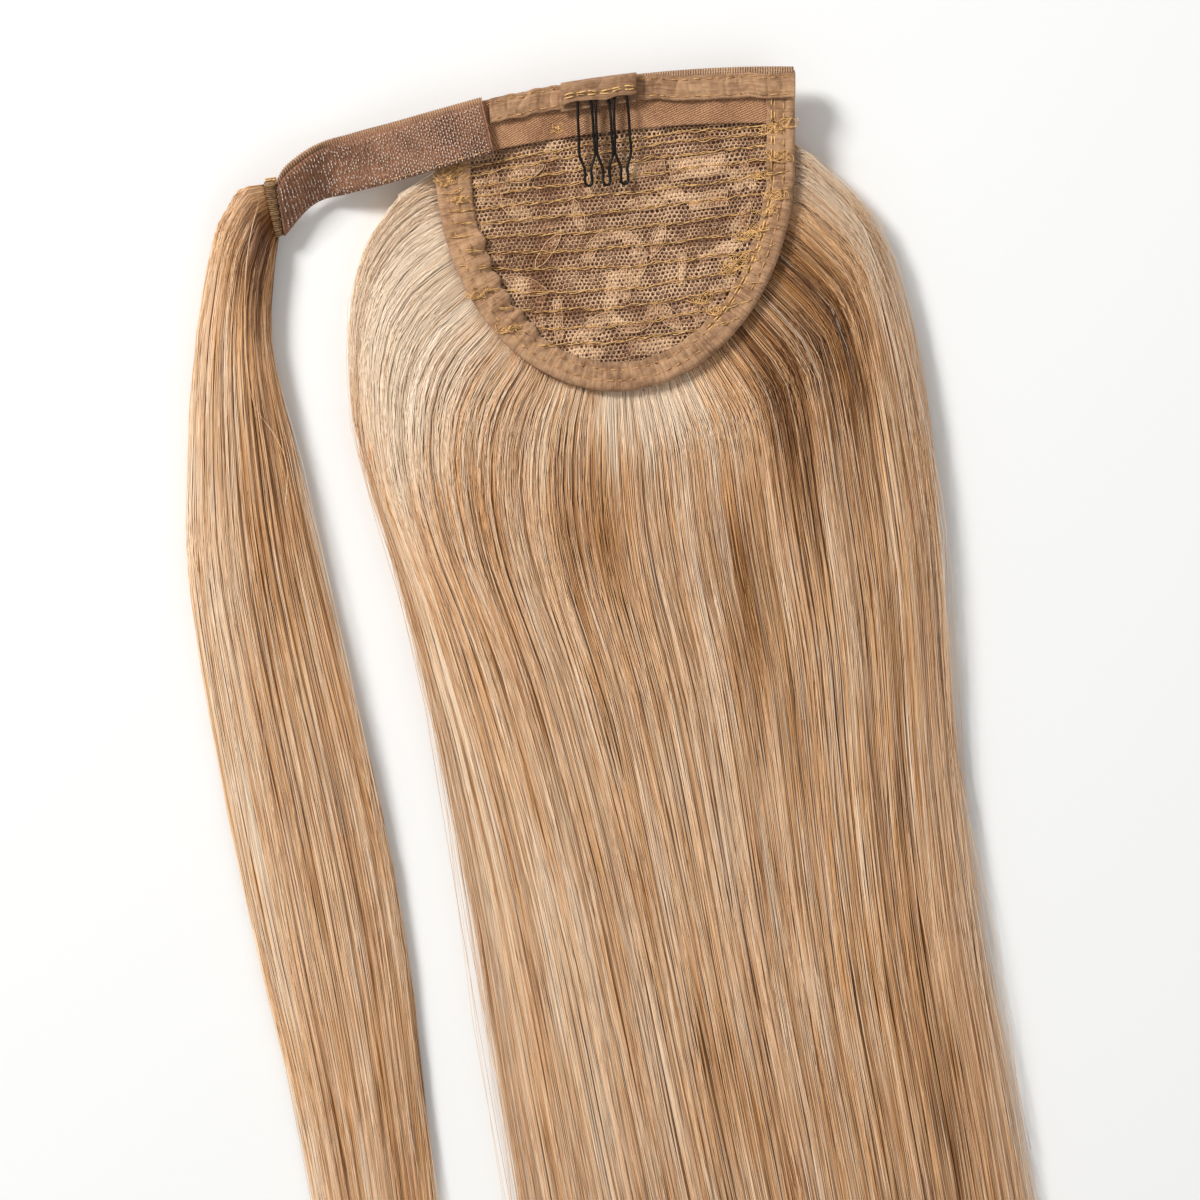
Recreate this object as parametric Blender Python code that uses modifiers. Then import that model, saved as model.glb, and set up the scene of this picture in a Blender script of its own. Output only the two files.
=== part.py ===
"""A wrap-round ponytail hairpiece, lying on a table with the inside of its cap up.

A D-shaped net cap is bound with tape round its curve and along its top edge. A wire comb sits in a
fabric sleeve at the top. The main hair is sewn under the cap and spreads out from below its rim. An
elastic strap with a hook tape leaves the cap's top left corner, and carries a second, narrow lock
of hair that is wound round the finished ponytail.

Units are metres. X runs to the right along the cap and Y towards its top edge, and +Z is up from the
table. All shapes are worked out from a point on the table below the middle of the cap's widest line,
and the empty at the end moves the whole piece so that its origin is the middle of its footprint.
"""

import math
from collections import namedtuple

import bmesh
import bpy
from mathutils import Matrix, Vector

# The cap: a half ellipse below its widest line, and straight sides above it.
CAP_WIDTH = 0.108
CAP_DEPTH = 0.0696
CAP_LEFT_SIDE = 0.0140
CAP_RIGHT_SIDE = 0.0279
CAP_TOP_ARCH = 0.0040
CAP_HEIGHT_AT_RIM = 0.0165
CAP_HEIGHT_AT_TOP = 0.0105
CAP_DISH = 0.0015
CAP_CREASE_DEPTH = 0.0012
CAP_CREASE_OFFSET = 0.020
CAP_CREASE_WIDTH = 0.009
CAP_CREASE_FADE = 0.016

# Cloth walls, and the clearance between sewn layers.
NET_WALL = 0.001
TAPE_WALL = 0.001
SEAM_GAP = 0.0003

# Rows of weft show through the net as low ribs.
WEFT_ROWS = 12
WEFT_RIB = 0.0004
NET_COLUMNS = 14

# The tape folded round the curved rim, wider on the left, with gathers low on the left.
RIM_TAPE_WIDTH = 0.0086
RIM_TAPE_EXTRA_LEFT = 0.0024
RIM_TAPE_EVEN_FROM = 0.4
RIM_STATIONS = 48
GATHER_COUNT = 6
GATHER_STATIONS = 4
GATHER_RISE = 0.0008
GATHER_REACH = 0.0009
GATHER_FROM = 0.16
GATHER_TO = 0.34

# The tapes along the top edge.
ELASTIC_WIDTH = 0.0170
ELASTIC_LEFT_WIDTH = 0.0156
TOP_TAPE_WIDTH = 0.0074
TOP_TAPE_STEPS = 16
SELVEDGE_RIGHT = 0.0020

# The comb: one wire bent into three teeth, with its top bends in the sleeve.
COMB_TEETH = 3
COMB_PITCH = 0.0054
COMB_WIRE = 0.0008
COMB_LEG_GAP = 0.00095
COMB_TOP_GAP = 0.0019
COMB_LENGTH = 0.0280
COMB_TIP_RADIUS = 0.0010
COMB_NARROW_LENGTH = 0.0042
COMB_SHOULDER_LENGTH = 0.0035
COMB_SPREAD_LENGTH = 0.0080
COMB_TIP_LIFT = 0.0022
COMB_TURN = math.radians(3)
COMB_OFFSET = 0.0039
COMB_BELOW_EDGE = 0.0041

# The folded tape that holds the comb.
SLEEVE_WIDTH = 0.0226
SLEEVE_OFFSET = 0.0049
SLEEVE_LENGTH = 0.0084
SLEEVE_OPENING = 0.0022

# The strap and the hook tape on it.
STRAP_WALL = 0.0012
HOOK_WALL = 0.0010
HOOK_MARGIN = 0.0016
STRAP_WIDTH = 0.0172
STRAP_REACH = 0.0624
STRAP_ROOT_SHARE = 0.147
STRAP_ABOVE_EDGE = 0.0008

# The main hair.
HAIR_LENGTH = 0.3700
HAIR_HALF_WIDTH = 0.0845
HAIR_LEAN = 0.0574
HAIR_SIDE_STEP = 0.0084
HAIR_THICKNESS = 0.0165
HAIR_EDGE_SHARE = 0.34
HAIR_UNDERCUT = 0.02
HAIR_LOCKS = 16
LOCK_COLUMNS = 3
LOCK_GROOVE = 0.0013
LOCK_TIP = 0.0080
HAIR_TOP_INSET = 0.0040

# The wrap hair and the sewn roll at its root.
WRAP_DROP = 0.3420
WRAP_LEAN = 0.0371
WRAP_HALF_WIDTH = 0.0232
WRAP_THICKNESS = 0.0120
WRAP_LOCKS = 6
WRAP_LOCK_GROOVE = 0.0010
WRAP_LOCK_TIP = 0.0060
WRAP_ROLL_RADIUS = 0.0016

# How far the hair under the cap stays below the middle of the net's wall: the rim tape's lower
# layer is between them.
NET_HALF = NET_WALL / 2
TAPE_REACH = NET_HALF + SEAM_GAP + TAPE_WALL
HAIR_BELOW_NET = TAPE_REACH + SEAM_GAP

# Rows across the main hair, each a U round the cap that flattens towards the tips. drop is a share
# of HAIR_LENGTH, centre of HAIR_LEAN, half of HAIR_HALF_WIDTH, step of HAIR_SIDE_STEP, sag of
# CAP_DEPTH and height of HAIR_THICKNESS. even is how far the locks are spread evenly across, and
# free is how far the row's height has left that of the cap's rim. The hair bends over the first
# spans between rows, which are HAIR_BENDS in number and get a row halfway.
HairRow = namedtuple("HairRow", "drop centre half step sag height even free")
HAIR_ROWS = (
    HairRow(0.019, 0.00, 0.763, 0.8, 1.02, 1.00, 0.00, 0.25),
    HairRow(0.054, 0.01, 0.888, 1.0, 0.99, 1.00, 0.05, 0.60),
    HairRow(0.118, 0.03, 0.967, 1.0, 0.93, 1.00, 0.15, 1.00),
    HairRow(0.207, 0.11, 1.000, 1.0, 0.80, 0.90, 0.30, 1.00),
    HairRow(0.300, 0.24, 0.982, 0.0, 0.69, 0.80, 0.40, 1.00),
    HairRow(0.438, 0.39, 0.925, 0.0, 0.56, 0.68, 0.50, 1.00),
    HairRow(0.596, 0.55, 0.893, 0.0, 0.41, 0.57, 0.60, 1.00),
    HairRow(0.759, 0.73, 0.895, 0.0, 0.28, 0.46, 0.65, 1.00),
    HairRow(0.913, 0.90, 0.893, 0.0, 0.15, 0.32, 0.70, 1.00),
    HairRow(1.000, 1.00, 0.909, 0.0, 0.05, 0.12, 0.75, 1.00),
)
HAIR_BENDS = 6
BED_SHARES = (0.0, 0.4, 0.75)

# Rows down the wrap hair. drop is a share of WRAP_DROP, lean of WRAP_LEAN, half of WRAP_HALF_WIDTH,
# and thick, left_lift and right_lift of WRAP_THICKNESS: the lifts are the underside's heights. turn
# is how many degrees the row slopes down to the right: the hair comes out sideways and turns down.
WrapRow = namedtuple("WrapRow", "drop lean half turn thick left_lift right_lift")
WRAP_ROWS = (
    WrapRow(0.014, -0.09, 0.52, 64, 0.50, 0.55, 0.22),
    WrapRow(0.046, -0.20, 0.59, 55, 0.78, 0.25, 0.08),
    WrapRow(0.095, -0.25, 0.61, 44, 0.98, 0.00, 0.00),
    WrapRow(0.149, -0.25, 0.63, 24, 1.00, 0.00, 0.00),
    WrapRow(0.215, -0.21, 0.72, 5, 0.97, 0.00, 0.00),
    WrapRow(0.305, -0.13, 0.86, -2, 0.90, 0.00, 0.00),
    WrapRow(0.419, 0.07, 0.95, -2, 0.82, 0.00, 0.00),
    WrapRow(0.533, 0.30, 1.00, -2, 0.75, 0.00, 0.00),
    WrapRow(0.655, 0.52, 0.97, -2, 0.66, 0.00, 0.00),
    WrapRow(0.770, 0.71, 0.86, -2, 0.58, 0.00, 0.00),
    WrapRow(0.875, 0.87, 0.78, -2, 0.46, 0.00, 0.00),
    WrapRow(0.954, 0.96, 0.73, -1, 0.33, 0.00, 0.00),
    WrapRow(1.000, 1.00, 0.71, 0, 0.14, 0.00, 0.00),
)
WRAP_BENDS = 6

# Stations along the strap from the cap outwards. along and down are shares of STRAP_REACH, turn is
# the strap's turn in plan in degrees, and roll how far its upper edge lifts in degrees. lift is the
# height of its middle line as a share of CAP_HEIGHT_AT_TOP, where it has left the cap.
StrapStation = namedtuple("StrapStation", "along down turn roll lift")
ON_CAP = None
STRAP_STATIONS = (
    StrapStation(0.000, 0.000, 13, 0, ON_CAP),
    StrapStation(0.140, 0.040, 14, 0, ON_CAP),
    StrapStation(0.280, 0.080, 14, 0, ON_CAP),
    StrapStation(0.450, 0.125, 16, 4, 1.08),
    StrapStation(0.630, 0.168, 16, 4, 0.74),
    StrapStation(0.740, 0.195, 19, 17, 0.66),
    StrapStation(0.825, 0.222, 17, 34, 0.72),
    StrapStation(0.891, 0.262, 19, 40, 0.78),
    StrapStation(0.950, 0.320, 16, 36, 0.80),
    StrapStation(1.000, 0.392, 8, 26, 0.81),
)

MATERIALS = {
    "net": ((0.56, 0.33, 0.17), 0.9, 0.0),
    "tape": ((0.54, 0.33, 0.19), 0.8, 0.0),
    "elastic": ((0.42, 0.22, 0.12), 0.85, 0.0),
    "hook": ((0.30, 0.17, 0.11), 0.8, 0.0),
    "wire": ((0.02, 0.018, 0.016), 0.35, 0.3),
    "hair": ((0.60, 0.38, 0.20), 0.4, 0.0),
    "hair_root": ((0.24, 0.14, 0.07), 0.5, 0.0),
}


def clear_scene():
    """Removes whatever the scene starts with."""
    for leftover in list(bpy.data.objects):
        bpy.data.objects.remove(leftover, do_unlink=True)


def make_material(name):
    """A Principled material with its colour, roughness and metallic value."""
    colour, roughness, metallic = MATERIALS[name]
    material = bpy.data.materials.new(name)
    material.use_nodes = True
    shader = material.node_tree.nodes["Principled BSDF"]
    shader.inputs["Base Color"].default_value = (*colour, 1.0)
    shader.inputs["Roughness"].default_value = roughness
    shader.inputs["Metallic"].default_value = metallic
    return material


def mix(start, end, share):
    return start + (end - start) * share


def smooth_step(value):
    value = min(max(value, 0.0), 1.0)
    return value * value * (3 - 2 * value)


# The cap's surface and outline


def cap_top_edge(x):
    """The Y of the cap's top edge at x."""
    half = CAP_WIDTH / 2
    share = (x + half) / CAP_WIDTH
    arch = CAP_TOP_ARCH * (1 - (x / half) ** 2)
    return mix(CAP_LEFT_SIDE, CAP_RIGHT_SIDE, share) + arch


def cap_height(x, y):
    """The height of the middle of the net's wall above the table."""
    half = CAP_WIDTH / 2
    share = (y + CAP_DEPTH) / (CAP_DEPTH + CAP_RIGHT_SIDE)
    level = mix(CAP_HEIGHT_AT_RIM, CAP_HEIGHT_AT_TOP, share)
    towards_rim = min((x / half) ** 2 + (y / CAP_DEPTH) ** 2, 1.0)
    crease = math.exp(-(((x + CAP_CREASE_OFFSET) / CAP_CREASE_WIDTH) ** 2))
    crease *= smooth_step(-y / CAP_CREASE_FADE)
    return level - (CAP_DISH + CAP_CREASE_DEPTH * crease) * (1 - towards_rim)


def half_width(y, inset):
    """Half of the cap's width at y, with its outline moved in by inset."""
    side, depth = CAP_WIDTH / 2 - inset, CAP_DEPTH - inset
    if y >= 0:
        return side
    return side * math.sqrt(max(1 - (y / depth) ** 2, 0.0))


def rim_curve():
    """A fine polyline round the rim from the top left corner to the top right."""
    half = CAP_WIDTH / 2
    curve = [Vector((-half, cap_top_edge(-half) - NET_WALL, 0))]
    steps = 4 * RIM_STATIONS
    for step in range(steps + 1):
        angle = math.pi * step / steps
        curve.append(Vector((-half * math.cos(angle), -CAP_DEPTH * math.sin(angle), 0)))
    curve.append(Vector((half, cap_top_edge(half) - NET_WALL, 0)))
    return curve


def rim_shares():
    """Shares of the way round the rim, close together where the tape is gathered."""
    before = round(RIM_STATIONS * GATHER_FROM)
    within = GATHER_COUNT * GATHER_STATIONS
    after = round(RIM_STATIONS * (1 - GATHER_TO))
    shares = [GATHER_FROM * step / before for step in range(before)]
    shares += [mix(GATHER_FROM, GATHER_TO, step / within) for step in range(within)]
    shares += [mix(GATHER_TO, 1, step / after) for step in range(after + 1)]
    return shares


def points_along(curve, shares):
    """The points at the given shares of a polyline's length."""
    lengths = [0.0]
    for before, after in zip(curve, curve[1:]):
        lengths.append(lengths[-1] + (after - before).length)
    points, segment = [], 0
    for share in shares:
        wanted = lengths[-1] * share
        while segment < len(curve) - 2 and lengths[segment + 1] < wanted:
            segment += 1
        span = lengths[segment + 1] - lengths[segment]
        points.append(curve[segment].lerp(curve[segment + 1], (wanted - lengths[segment]) / span))
    return points


# Making objects


def add_object(name, mesh, material, collection):
    """Links a named object that holds the mesh."""
    made = bpy.data.objects.new(name, mesh)
    made.data.materials.append(material)
    collection.objects.link(made)
    return made


def loft(name, rings, material, collection, merge=0.0):
    """A closed solid through rings of points, each ring as long as the next."""
    shape = bmesh.new()
    loops = [[shape.verts.new(point) for point in ring] for ring in rings]
    count = len(rings[0])
    for near, far in zip(loops, loops[1:]):
        for index in range(count):
            after = (index + 1) % count
            shape.faces.new((near[index], near[after], far[after], far[index]))
    shape.faces.new(list(reversed(loops[0])))
    shape.faces.new(loops[-1])
    if merge:
        bmesh.ops.remove_doubles(shape, verts=shape.verts, dist=merge)
    bmesh.ops.recalc_face_normals(shape, faces=shape.faces)
    mesh = bpy.data.meshes.new(name)
    shape.to_mesh(mesh)
    shape.free()
    mesh.shade_smooth()
    mesh.set_sharp_from_angle(angle=math.radians(40))
    return add_object(name, mesh, material, collection)


def sheet(name, columns, rows, place, wall, material, collection):
    """A cloth wall: a grid whose points place(across, down) moves, given a thickness.

    across and down run from 0 to 1, and place gives the middle of the wall.
    """
    bpy.ops.mesh.primitive_grid_add(x_subdivisions=columns, y_subdivisions=rows, size=1)
    made = bpy.context.object
    made.name = made.data.name = name
    for vertex in made.data.vertices:
        vertex.co = place(vertex.co.x + 0.5, 0.5 - vertex.co.y)
    made.data.materials.append(material)
    for holder in list(made.users_collection):
        holder.objects.unlink(made)
    collection.objects.link(made)
    made.data.shade_smooth()
    thicken = made.modifiers.new("wall", "SOLIDIFY")
    thicken.thickness = wall
    thicken.offset = 0
    thicken.use_even_offset = True
    return made


# The cap's pieces


def net_rows():
    """(left X, right X, Y in the middle, slope) of each row of the net, from the top edge down."""
    inset = TAPE_WALL + SEAM_GAP
    top_slope = (CAP_RIGHT_SIDE - CAP_LEFT_SIDE) / CAP_WIDTH
    top = cap_top_edge(0) - inset
    bottom = -CAP_DEPTH + inset + RIM_TAPE_WIDTH / 4
    rows = []
    count = 2 * WEFT_ROWS
    for step in range(count + 1):
        share = step / count
        middle = mix(top, bottom, share)
        slope = top_slope * (1 - smooth_step(share))
        left, right = -CAP_WIDTH / 2, CAP_WIDTH / 2
        for _ in range(4):
            left = -half_width(middle + slope * left, inset)
            right = half_width(middle + slope * right, inset)
        rows.append((left, right, middle, slope))
    return rows


def add_net(material, collection):
    """The lace net, with a low rib where each row of weft is sewn to its underside."""
    rows = net_rows()
    count = len(rows) - 1
    covered = ELASTIC_WIDTH + SEAM_GAP

    def place(across, down):
        index = round(down * count)
        left, right, middle, slope = rows[index]
        x = mix(left, right, across)
        arch = CAP_TOP_ARCH * ((x / (CAP_WIDTH / 2)) ** 2) * (1 - smooth_step(2 * down))
        y = middle + slope * x - arch
        side = RIM_TAPE_WIDTH + RIM_TAPE_EXTRA_LEFT
        bare = abs(x) < half_width(y, side) and y < cap_top_edge(x) - covered
        rib = WEFT_RIB * (index % 2) * bare
        return Vector((x, y, cap_height(x, y) + rib))

    return sheet("net_cap", NET_COLUMNS, count, place, NET_WALL, material, collection)


def add_rim_tape(material, collection):
    """The tape folded round the rim: a channel that holds the net's edge."""
    shares = rim_shares()
    path = points_along(rim_curve(), shares)
    rings = []
    for index, (point, share) in enumerate(zip(path, shares)):
        before = path[max(index - 1, 0)]
        after = path[min(index + 1, len(path) - 1)]
        along = (after - before).normalized()
        inwards = Vector((-along.y, along.x, 0))
        gather = GATHER_COUNT * (share - GATHER_FROM) / (GATHER_TO - GATHER_FROM)
        puff = math.sin(math.pi * gather) ** 2 * (GATHER_FROM < share < GATHER_TO)
        width = RIM_TAPE_WIDTH + RIM_TAPE_EXTRA_LEFT * (1 - smooth_step(share / RIM_TAPE_EVEN_FROM))
        width += GATHER_REACH * puff
        edge = TAPE_WALL / 2
        section = (
            (0.0, -TAPE_REACH + edge, 0),
            (edge, -TAPE_REACH, 0),
            (width, -TAPE_REACH, 0),
            (width, -TAPE_REACH + TAPE_WALL, 0),
            (TAPE_WALL, -TAPE_REACH + TAPE_WALL, 0),
            (TAPE_WALL, TAPE_REACH - TAPE_WALL, 0),
            (width / 2, TAPE_REACH - TAPE_WALL, puff),
            (width, TAPE_REACH - TAPE_WALL, 0),
            (width, TAPE_REACH, 0),
            (width / 2, TAPE_REACH, puff),
            (edge, TAPE_REACH, 0),
            (0.0, TAPE_REACH - edge, 0),
        )
        ring = []
        for inset, offset, lift in section:
            place = point + inwards * inset
            height = cap_height(place.x, place.y) + offset + GATHER_RISE * lift
            ring.append(Vector((place.x, place.y, height)))
        rings.append(ring)
    return loft("rim_tape", rings, material, collection)


def add_elastic(material, collection):
    """The woven elastic along the cap's top, between the ends of the rim tape."""
    level = NET_HALF + SEAM_GAP + TAPE_WALL / 2
    right = CAP_WIDTH / 2 - RIM_TAPE_WIDTH - SEAM_GAP
    left = -right + RIM_TAPE_EXTRA_LEFT

    def place(across, down):
        x = mix(left, right, across)
        y = cap_top_edge(x) - down * mix(ELASTIC_LEFT_WIDTH, ELASTIC_WIDTH, across)
        return Vector((x, y, cap_height(x, y) + level))

    return sheet("top_elastic", TOP_TAPE_STEPS, 4, place, TAPE_WALL, material, collection)


def add_top_tape(material, collection):
    """The stitched tape over the elastic's upper part, which shows its selvedge on the right."""
    level = NET_HALF + 2 * SEAM_GAP + 1.5 * TAPE_WALL
    left, right = strap_root_x() + 2 * SEAM_GAP, CAP_WIDTH / 2

    def place(across, down):
        x = mix(left, right, across)
        shown = SELVEDGE_RIGHT * smooth_step(x / (CAP_WIDTH / 4))
        y = cap_top_edge(x) - shown - TOP_TAPE_WIDTH * down
        return Vector((x, y, cap_height(x, y) + level))

    return sheet("top_tape", TOP_TAPE_STEPS, 2, place, TAPE_WALL, material, collection)


# The comb


def comb_place(across, down, lift):
    """A point of the comb: across and down in its own plane, lift above the net's middle."""
    top_x = -COMB_OFFSET
    top_y = cap_top_edge(top_x) - COMB_BELOW_EDGE
    x = top_x + across * math.cos(COMB_TURN) + down * math.sin(COMB_TURN)
    y = top_y + across * math.sin(COMB_TURN) - down * math.cos(COMB_TURN)
    return Vector((x, y, cap_height(x, y) + lift))


def comb_lift(down):
    """How far the wire's middle is above the net's: it leaves the sleeve and slopes to the tips."""
    top = sleeve_bottom() + TAPE_WALL + SEAM_GAP + COMB_WIRE / 2
    return mix(top, NET_HALF + COMB_TIP_LIFT, smooth_step(down / COMB_LENGTH))


def sleeve_bottom():
    """The height of the sleeve's underside above the net's middle: it lies on the top tape."""
    return NET_HALF + 2 * TAPE_WALL + 3 * SEAM_GAP


def tooth_points(centre):
    """(across, down) down one leg of a tooth, round its tip and up the other."""
    top = (COMB_PITCH - COMB_TOP_GAP) / 2
    leg = (COMB_PITCH - COMB_LEG_GAP) / 2
    tip_start = COMB_LENGTH - COMB_TIP_RADIUS
    narrow_start = tip_start - COMB_NARROW_LENGTH
    shoulder_start = narrow_start - COMB_SHOULDER_LENGTH
    side = [
        (top, 0.0),
        (mix(top, leg, 0.6), COMB_SPREAD_LENGTH / 2),
        (leg, COMB_SPREAD_LENGTH),
        (leg, shoulder_start),
        (mix(leg, COMB_TIP_RADIUS, 0.5), mix(shoulder_start, narrow_start, 0.5)),
        (COMB_TIP_RADIUS, narrow_start),
        (COMB_TIP_RADIUS, tip_start),
    ]
    bend = []
    for step in range(1, 4):
        angle = math.pi * step / 4
        down = tip_start + COMB_TIP_RADIUS * math.sin(angle)
        bend.append((-COMB_TIP_RADIUS * math.cos(angle), down))
    left = [(-across, down) for across, down in side]
    right = list(reversed(side))
    return [(centre + across, down) for across, down in left + bend + right]


def add_comb(material, collection):
    """One wire through all the teeth, with a bend between each tooth and the next."""
    route = []
    for tooth in range(COMB_TEETH):
        centre = (tooth - (COMB_TEETH - 1) / 2) * COMB_PITCH
        if tooth:
            between = centre - COMB_PITCH / 2
            for step in range(1, 4):
                angle = math.pi * step / 4
                reach = COMB_TOP_GAP / 2
                route.append((between - reach * math.cos(angle), -reach * math.sin(angle)))
        route.extend(tooth_points(centre))
    points = [comb_place(across, down, comb_lift(down)) for across, down in route]
    return wire("comb", points, COMB_WIRE / 2, material, collection)


def wire(name, points, radius, material, collection):
    """A round wire with closed ends through the points."""
    curve = bpy.data.curves.new(name, "CURVE")
    curve.dimensions = "3D"
    curve.bevel_depth = radius
    curve.bevel_resolution = 2
    curve.use_fill_caps = True
    spline = curve.splines.new("POLY")
    spline.points.add(len(points) - 1)
    for knot, point in zip(spline.points, points):
        knot.co = (*point, 1.0)
    return add_object(name, curve, material, collection)


def add_sleeve(material, collection):
    """The folded tape round the comb's top bends, open at its lower edge."""
    low = sleeve_bottom()
    high = low + 2 * TAPE_WALL + COMB_WIRE + 2 * SEAM_GAP
    over = SLEEVE_LENGTH - SLEEVE_OPENING
    section = (
        (0.0, low + TAPE_WALL / 2),
        (TAPE_WALL / 2, low),
        (SLEEVE_LENGTH, low),
        (SLEEVE_LENGTH, low + TAPE_WALL),
        (TAPE_WALL, low + TAPE_WALL),
        (TAPE_WALL, high - TAPE_WALL),
        (over, high - TAPE_WALL),
        (over, high),
        (TAPE_WALL / 2, high),
        (0.0, high - TAPE_WALL / 2),
    )
    rings = []
    for step in range(5):
        x = SLEEVE_WIDTH * (step / 4 - 0.5) - SLEEVE_OFFSET
        ring = []
        for down, lift in section:
            y = cap_top_edge(x) - down
            ring.append(Vector((x, y, cap_height(x, y) + lift)))
        rings.append(ring)
    return loft("comb_sleeve", rings, material, collection)


# The strap


def strap_root_x():
    """The X of the middle of the strap's sewn end."""
    return CAP_WIDTH * (STRAP_ROOT_SHARE - 0.5)


def strap_point(station, offset, level):
    """A point on the strap: offset towards its upper edge, level above its middle."""
    root = strap_root_x()
    x = root - STRAP_REACH * station.along
    start = cap_top_edge(root) + STRAP_ABOVE_EDGE - STRAP_WIDTH / 2
    y = start - STRAP_REACH * station.down
    turn = math.radians(station.turn)
    flat = Vector((-math.sin(turn), math.cos(turn), 0))
    if station.lift is ON_CAP:
        point = Vector((x, y, 0)) + flat * offset
        stack = NET_HALF + TAPE_WALL + 2 * SEAM_GAP + STRAP_WALL / 2
        return point + Vector((0, 0, cap_height(point.x, point.y) + stack + level))
    roll = math.radians(station.roll)
    across = flat * math.cos(roll) + Vector((0, 0, math.sin(roll)))
    face = Vector((0, 0, math.cos(roll))) - flat * math.sin(roll)
    return Vector((x, y, CAP_HEIGHT_AT_TOP * station.lift)) + across * offset + face * level


def add_strap_strip(name, upper, wall, level, material, collection):
    """A strip along the strap, from its lower edge to an upper offset."""
    lower = -STRAP_WIDTH / 2
    last = len(STRAP_STATIONS) - 1

    def place(across, down):
        station = STRAP_STATIONS[round((1 - across) * last)]
        return strap_point(station, mix(upper, lower, down), level)

    return sheet(name, last, 2, place, wall, material, collection)


def add_strap(material, collection):
    """The elastic strap."""
    upper = STRAP_WIDTH / 2
    return add_strap_strip("strap", upper, STRAP_WALL, 0.0, material, collection)


def add_hook_tape(material, collection):
    """The hook tape on the strap, which leaves the strap's ribbed upper edge bare."""
    upper = STRAP_WIDTH / 2 - HOOK_MARGIN
    level = STRAP_WALL / 2 + SEAM_GAP + HOOK_WALL / 2
    return add_strap_strip("hook_tape", upper, HOOK_WALL, level, material, collection)


# The hair


def with_halfway_rows(rows, bends):
    """The rows, with one more halfway along the smooth curve over each of the first spans."""
    smooth = []
    for index, (start, end) in enumerate(zip(rows, rows[1:])):
        smooth.append(start)
        if index < bends:
            before, after = rows[max(index - 1, 0)], rows[min(index + 2, len(rows) - 1)]
            fields = zip(before, start, end, after)
            smooth.append(type(start)(*[(9 * (b + c) - a - d) / 16 for a, b, c, d in fields]))
    return smooth + [rows[-1]]


def lock_shape(share, locks):
    """(height lost in the groove between two locks, 0 to 1; length gained at the lock's tip)."""
    within = (share * locks) % 1.0
    crest = math.sin(math.pi * within)
    return 1 - crest, crest


def under_cap(x, y):
    """The top of the hair where the cap lies on it."""
    return cap_height(x, y) - HAIR_BELOW_NET


def rim_row(share):
    """The point just outside the cap's rim where a lock comes out from under it."""
    angle = math.pi * share
    out = SEAM_GAP
    x = -(CAP_WIDTH / 2 + out) * math.cos(angle)
    y = -(CAP_DEPTH + out) * math.sin(angle) + HAIR_SIDE_STEP * (share - 0.5)
    return Vector((x, y, under_cap(x, y)))


def hair_point(row, share, rim):
    """The top of the main hair on one of HAIR_ROWS, at a share of the way across."""
    evenly = 2 * share - 1
    across = mix(-math.cos(math.pi * share), evenly, row.even)
    x = row.centre * HAIR_LEAN + row.half * HAIR_HALF_WIDTH * across
    y = -row.drop * HAIR_LENGTH + row.step * HAIR_SIDE_STEP * (share - 0.5)
    y -= row.sag * CAP_DEPTH * math.sin(math.pi * share)
    dome = 1 - (1 - HAIR_EDGE_SHARE) * abs(evenly) ** 4
    height = mix(rim.z, row.height * HAIR_THICKNESS * dome, row.free)
    return Vector((x, y, height))


def closed_ring(tops, undersides):
    """The points along the top and back along the underside."""
    return tops + list(reversed(undersides))


def add_main_hair(material, collection):
    """The hair sewn under the cap, in locks fused to the bed of hair that the cap lies on."""
    columns = LOCK_COLUMNS * HAIR_LOCKS
    shares = [column / columns for column in range(columns + 1)]
    undershares = [mix(HAIR_UNDERCUT, 1 - HAIR_UNDERCUT, share) for share in shares]

    def bed_row(part, at):
        rim_point = rim_row(at)
        x = rim_point.x * (1 - HAIR_TOP_INSET / (CAP_WIDTH / 2))
        start = Vector((x, cap_top_edge(x) - HAIR_TOP_INSET, 0))
        point = start.lerp(rim_point, part)
        return Vector((point.x, point.y, under_cap(point.x, point.y)))

    def flat(point):
        return Vector((point.x, point.y, 0))

    rings = []
    for part in (*BED_SHARES, 1.0):
        tops = [bed_row(part, at) for at in shares]
        rings.append(closed_ring(tops, [flat(bed_row(part, at)) for at in undershares]))
    rim = [rim_row(at) for at in shares]
    for row in with_halfway_rows(HAIR_ROWS, HAIR_BENDS):
        last = row is HAIR_ROWS[-1]
        tops, undersides = [], []
        for at, under_at, start in zip(shares, undershares, rim):
            groove, tip = lock_shape(at, HAIR_LOCKS)
            reach = Vector((0, -LOCK_TIP * tip * last, 0))
            depth = LOCK_GROOVE * groove * row.free * math.sqrt(row.height)
            top = hair_point(row, at, start) + reach
            tops.append(top - Vector((0, 0, depth)))
            undersides.append(flat(hair_point(row, under_at, start) + reach))
        rings.append(closed_ring(tops, undersides))
    return loft("main_hair", rings, material, collection, merge=0.00005)


def strap_end():
    """(upper corner, lower corner, way out) of the strap's far end."""
    upper = strap_point(STRAP_STATIONS[-1], STRAP_WIDTH / 2, 0)
    lower = strap_point(STRAP_STATIONS[-1], -STRAP_WIDTH / 2, 0)
    across = upper - lower
    return upper, lower, Vector((-across.y, across.x, 0)).normalized()


def add_wrap_roll(material, collection):
    """The rolled and sewn root of the wrap hair, across the strap's end."""
    upper, lower, out = strap_end()
    away = out * (SEAM_GAP + WRAP_ROLL_RADIUS)
    points = [upper.lerp(lower, step / 4) + away for step in range(5)]
    return wire("wrap_roll", points, WRAP_ROLL_RADIUS, material, collection)


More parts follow.
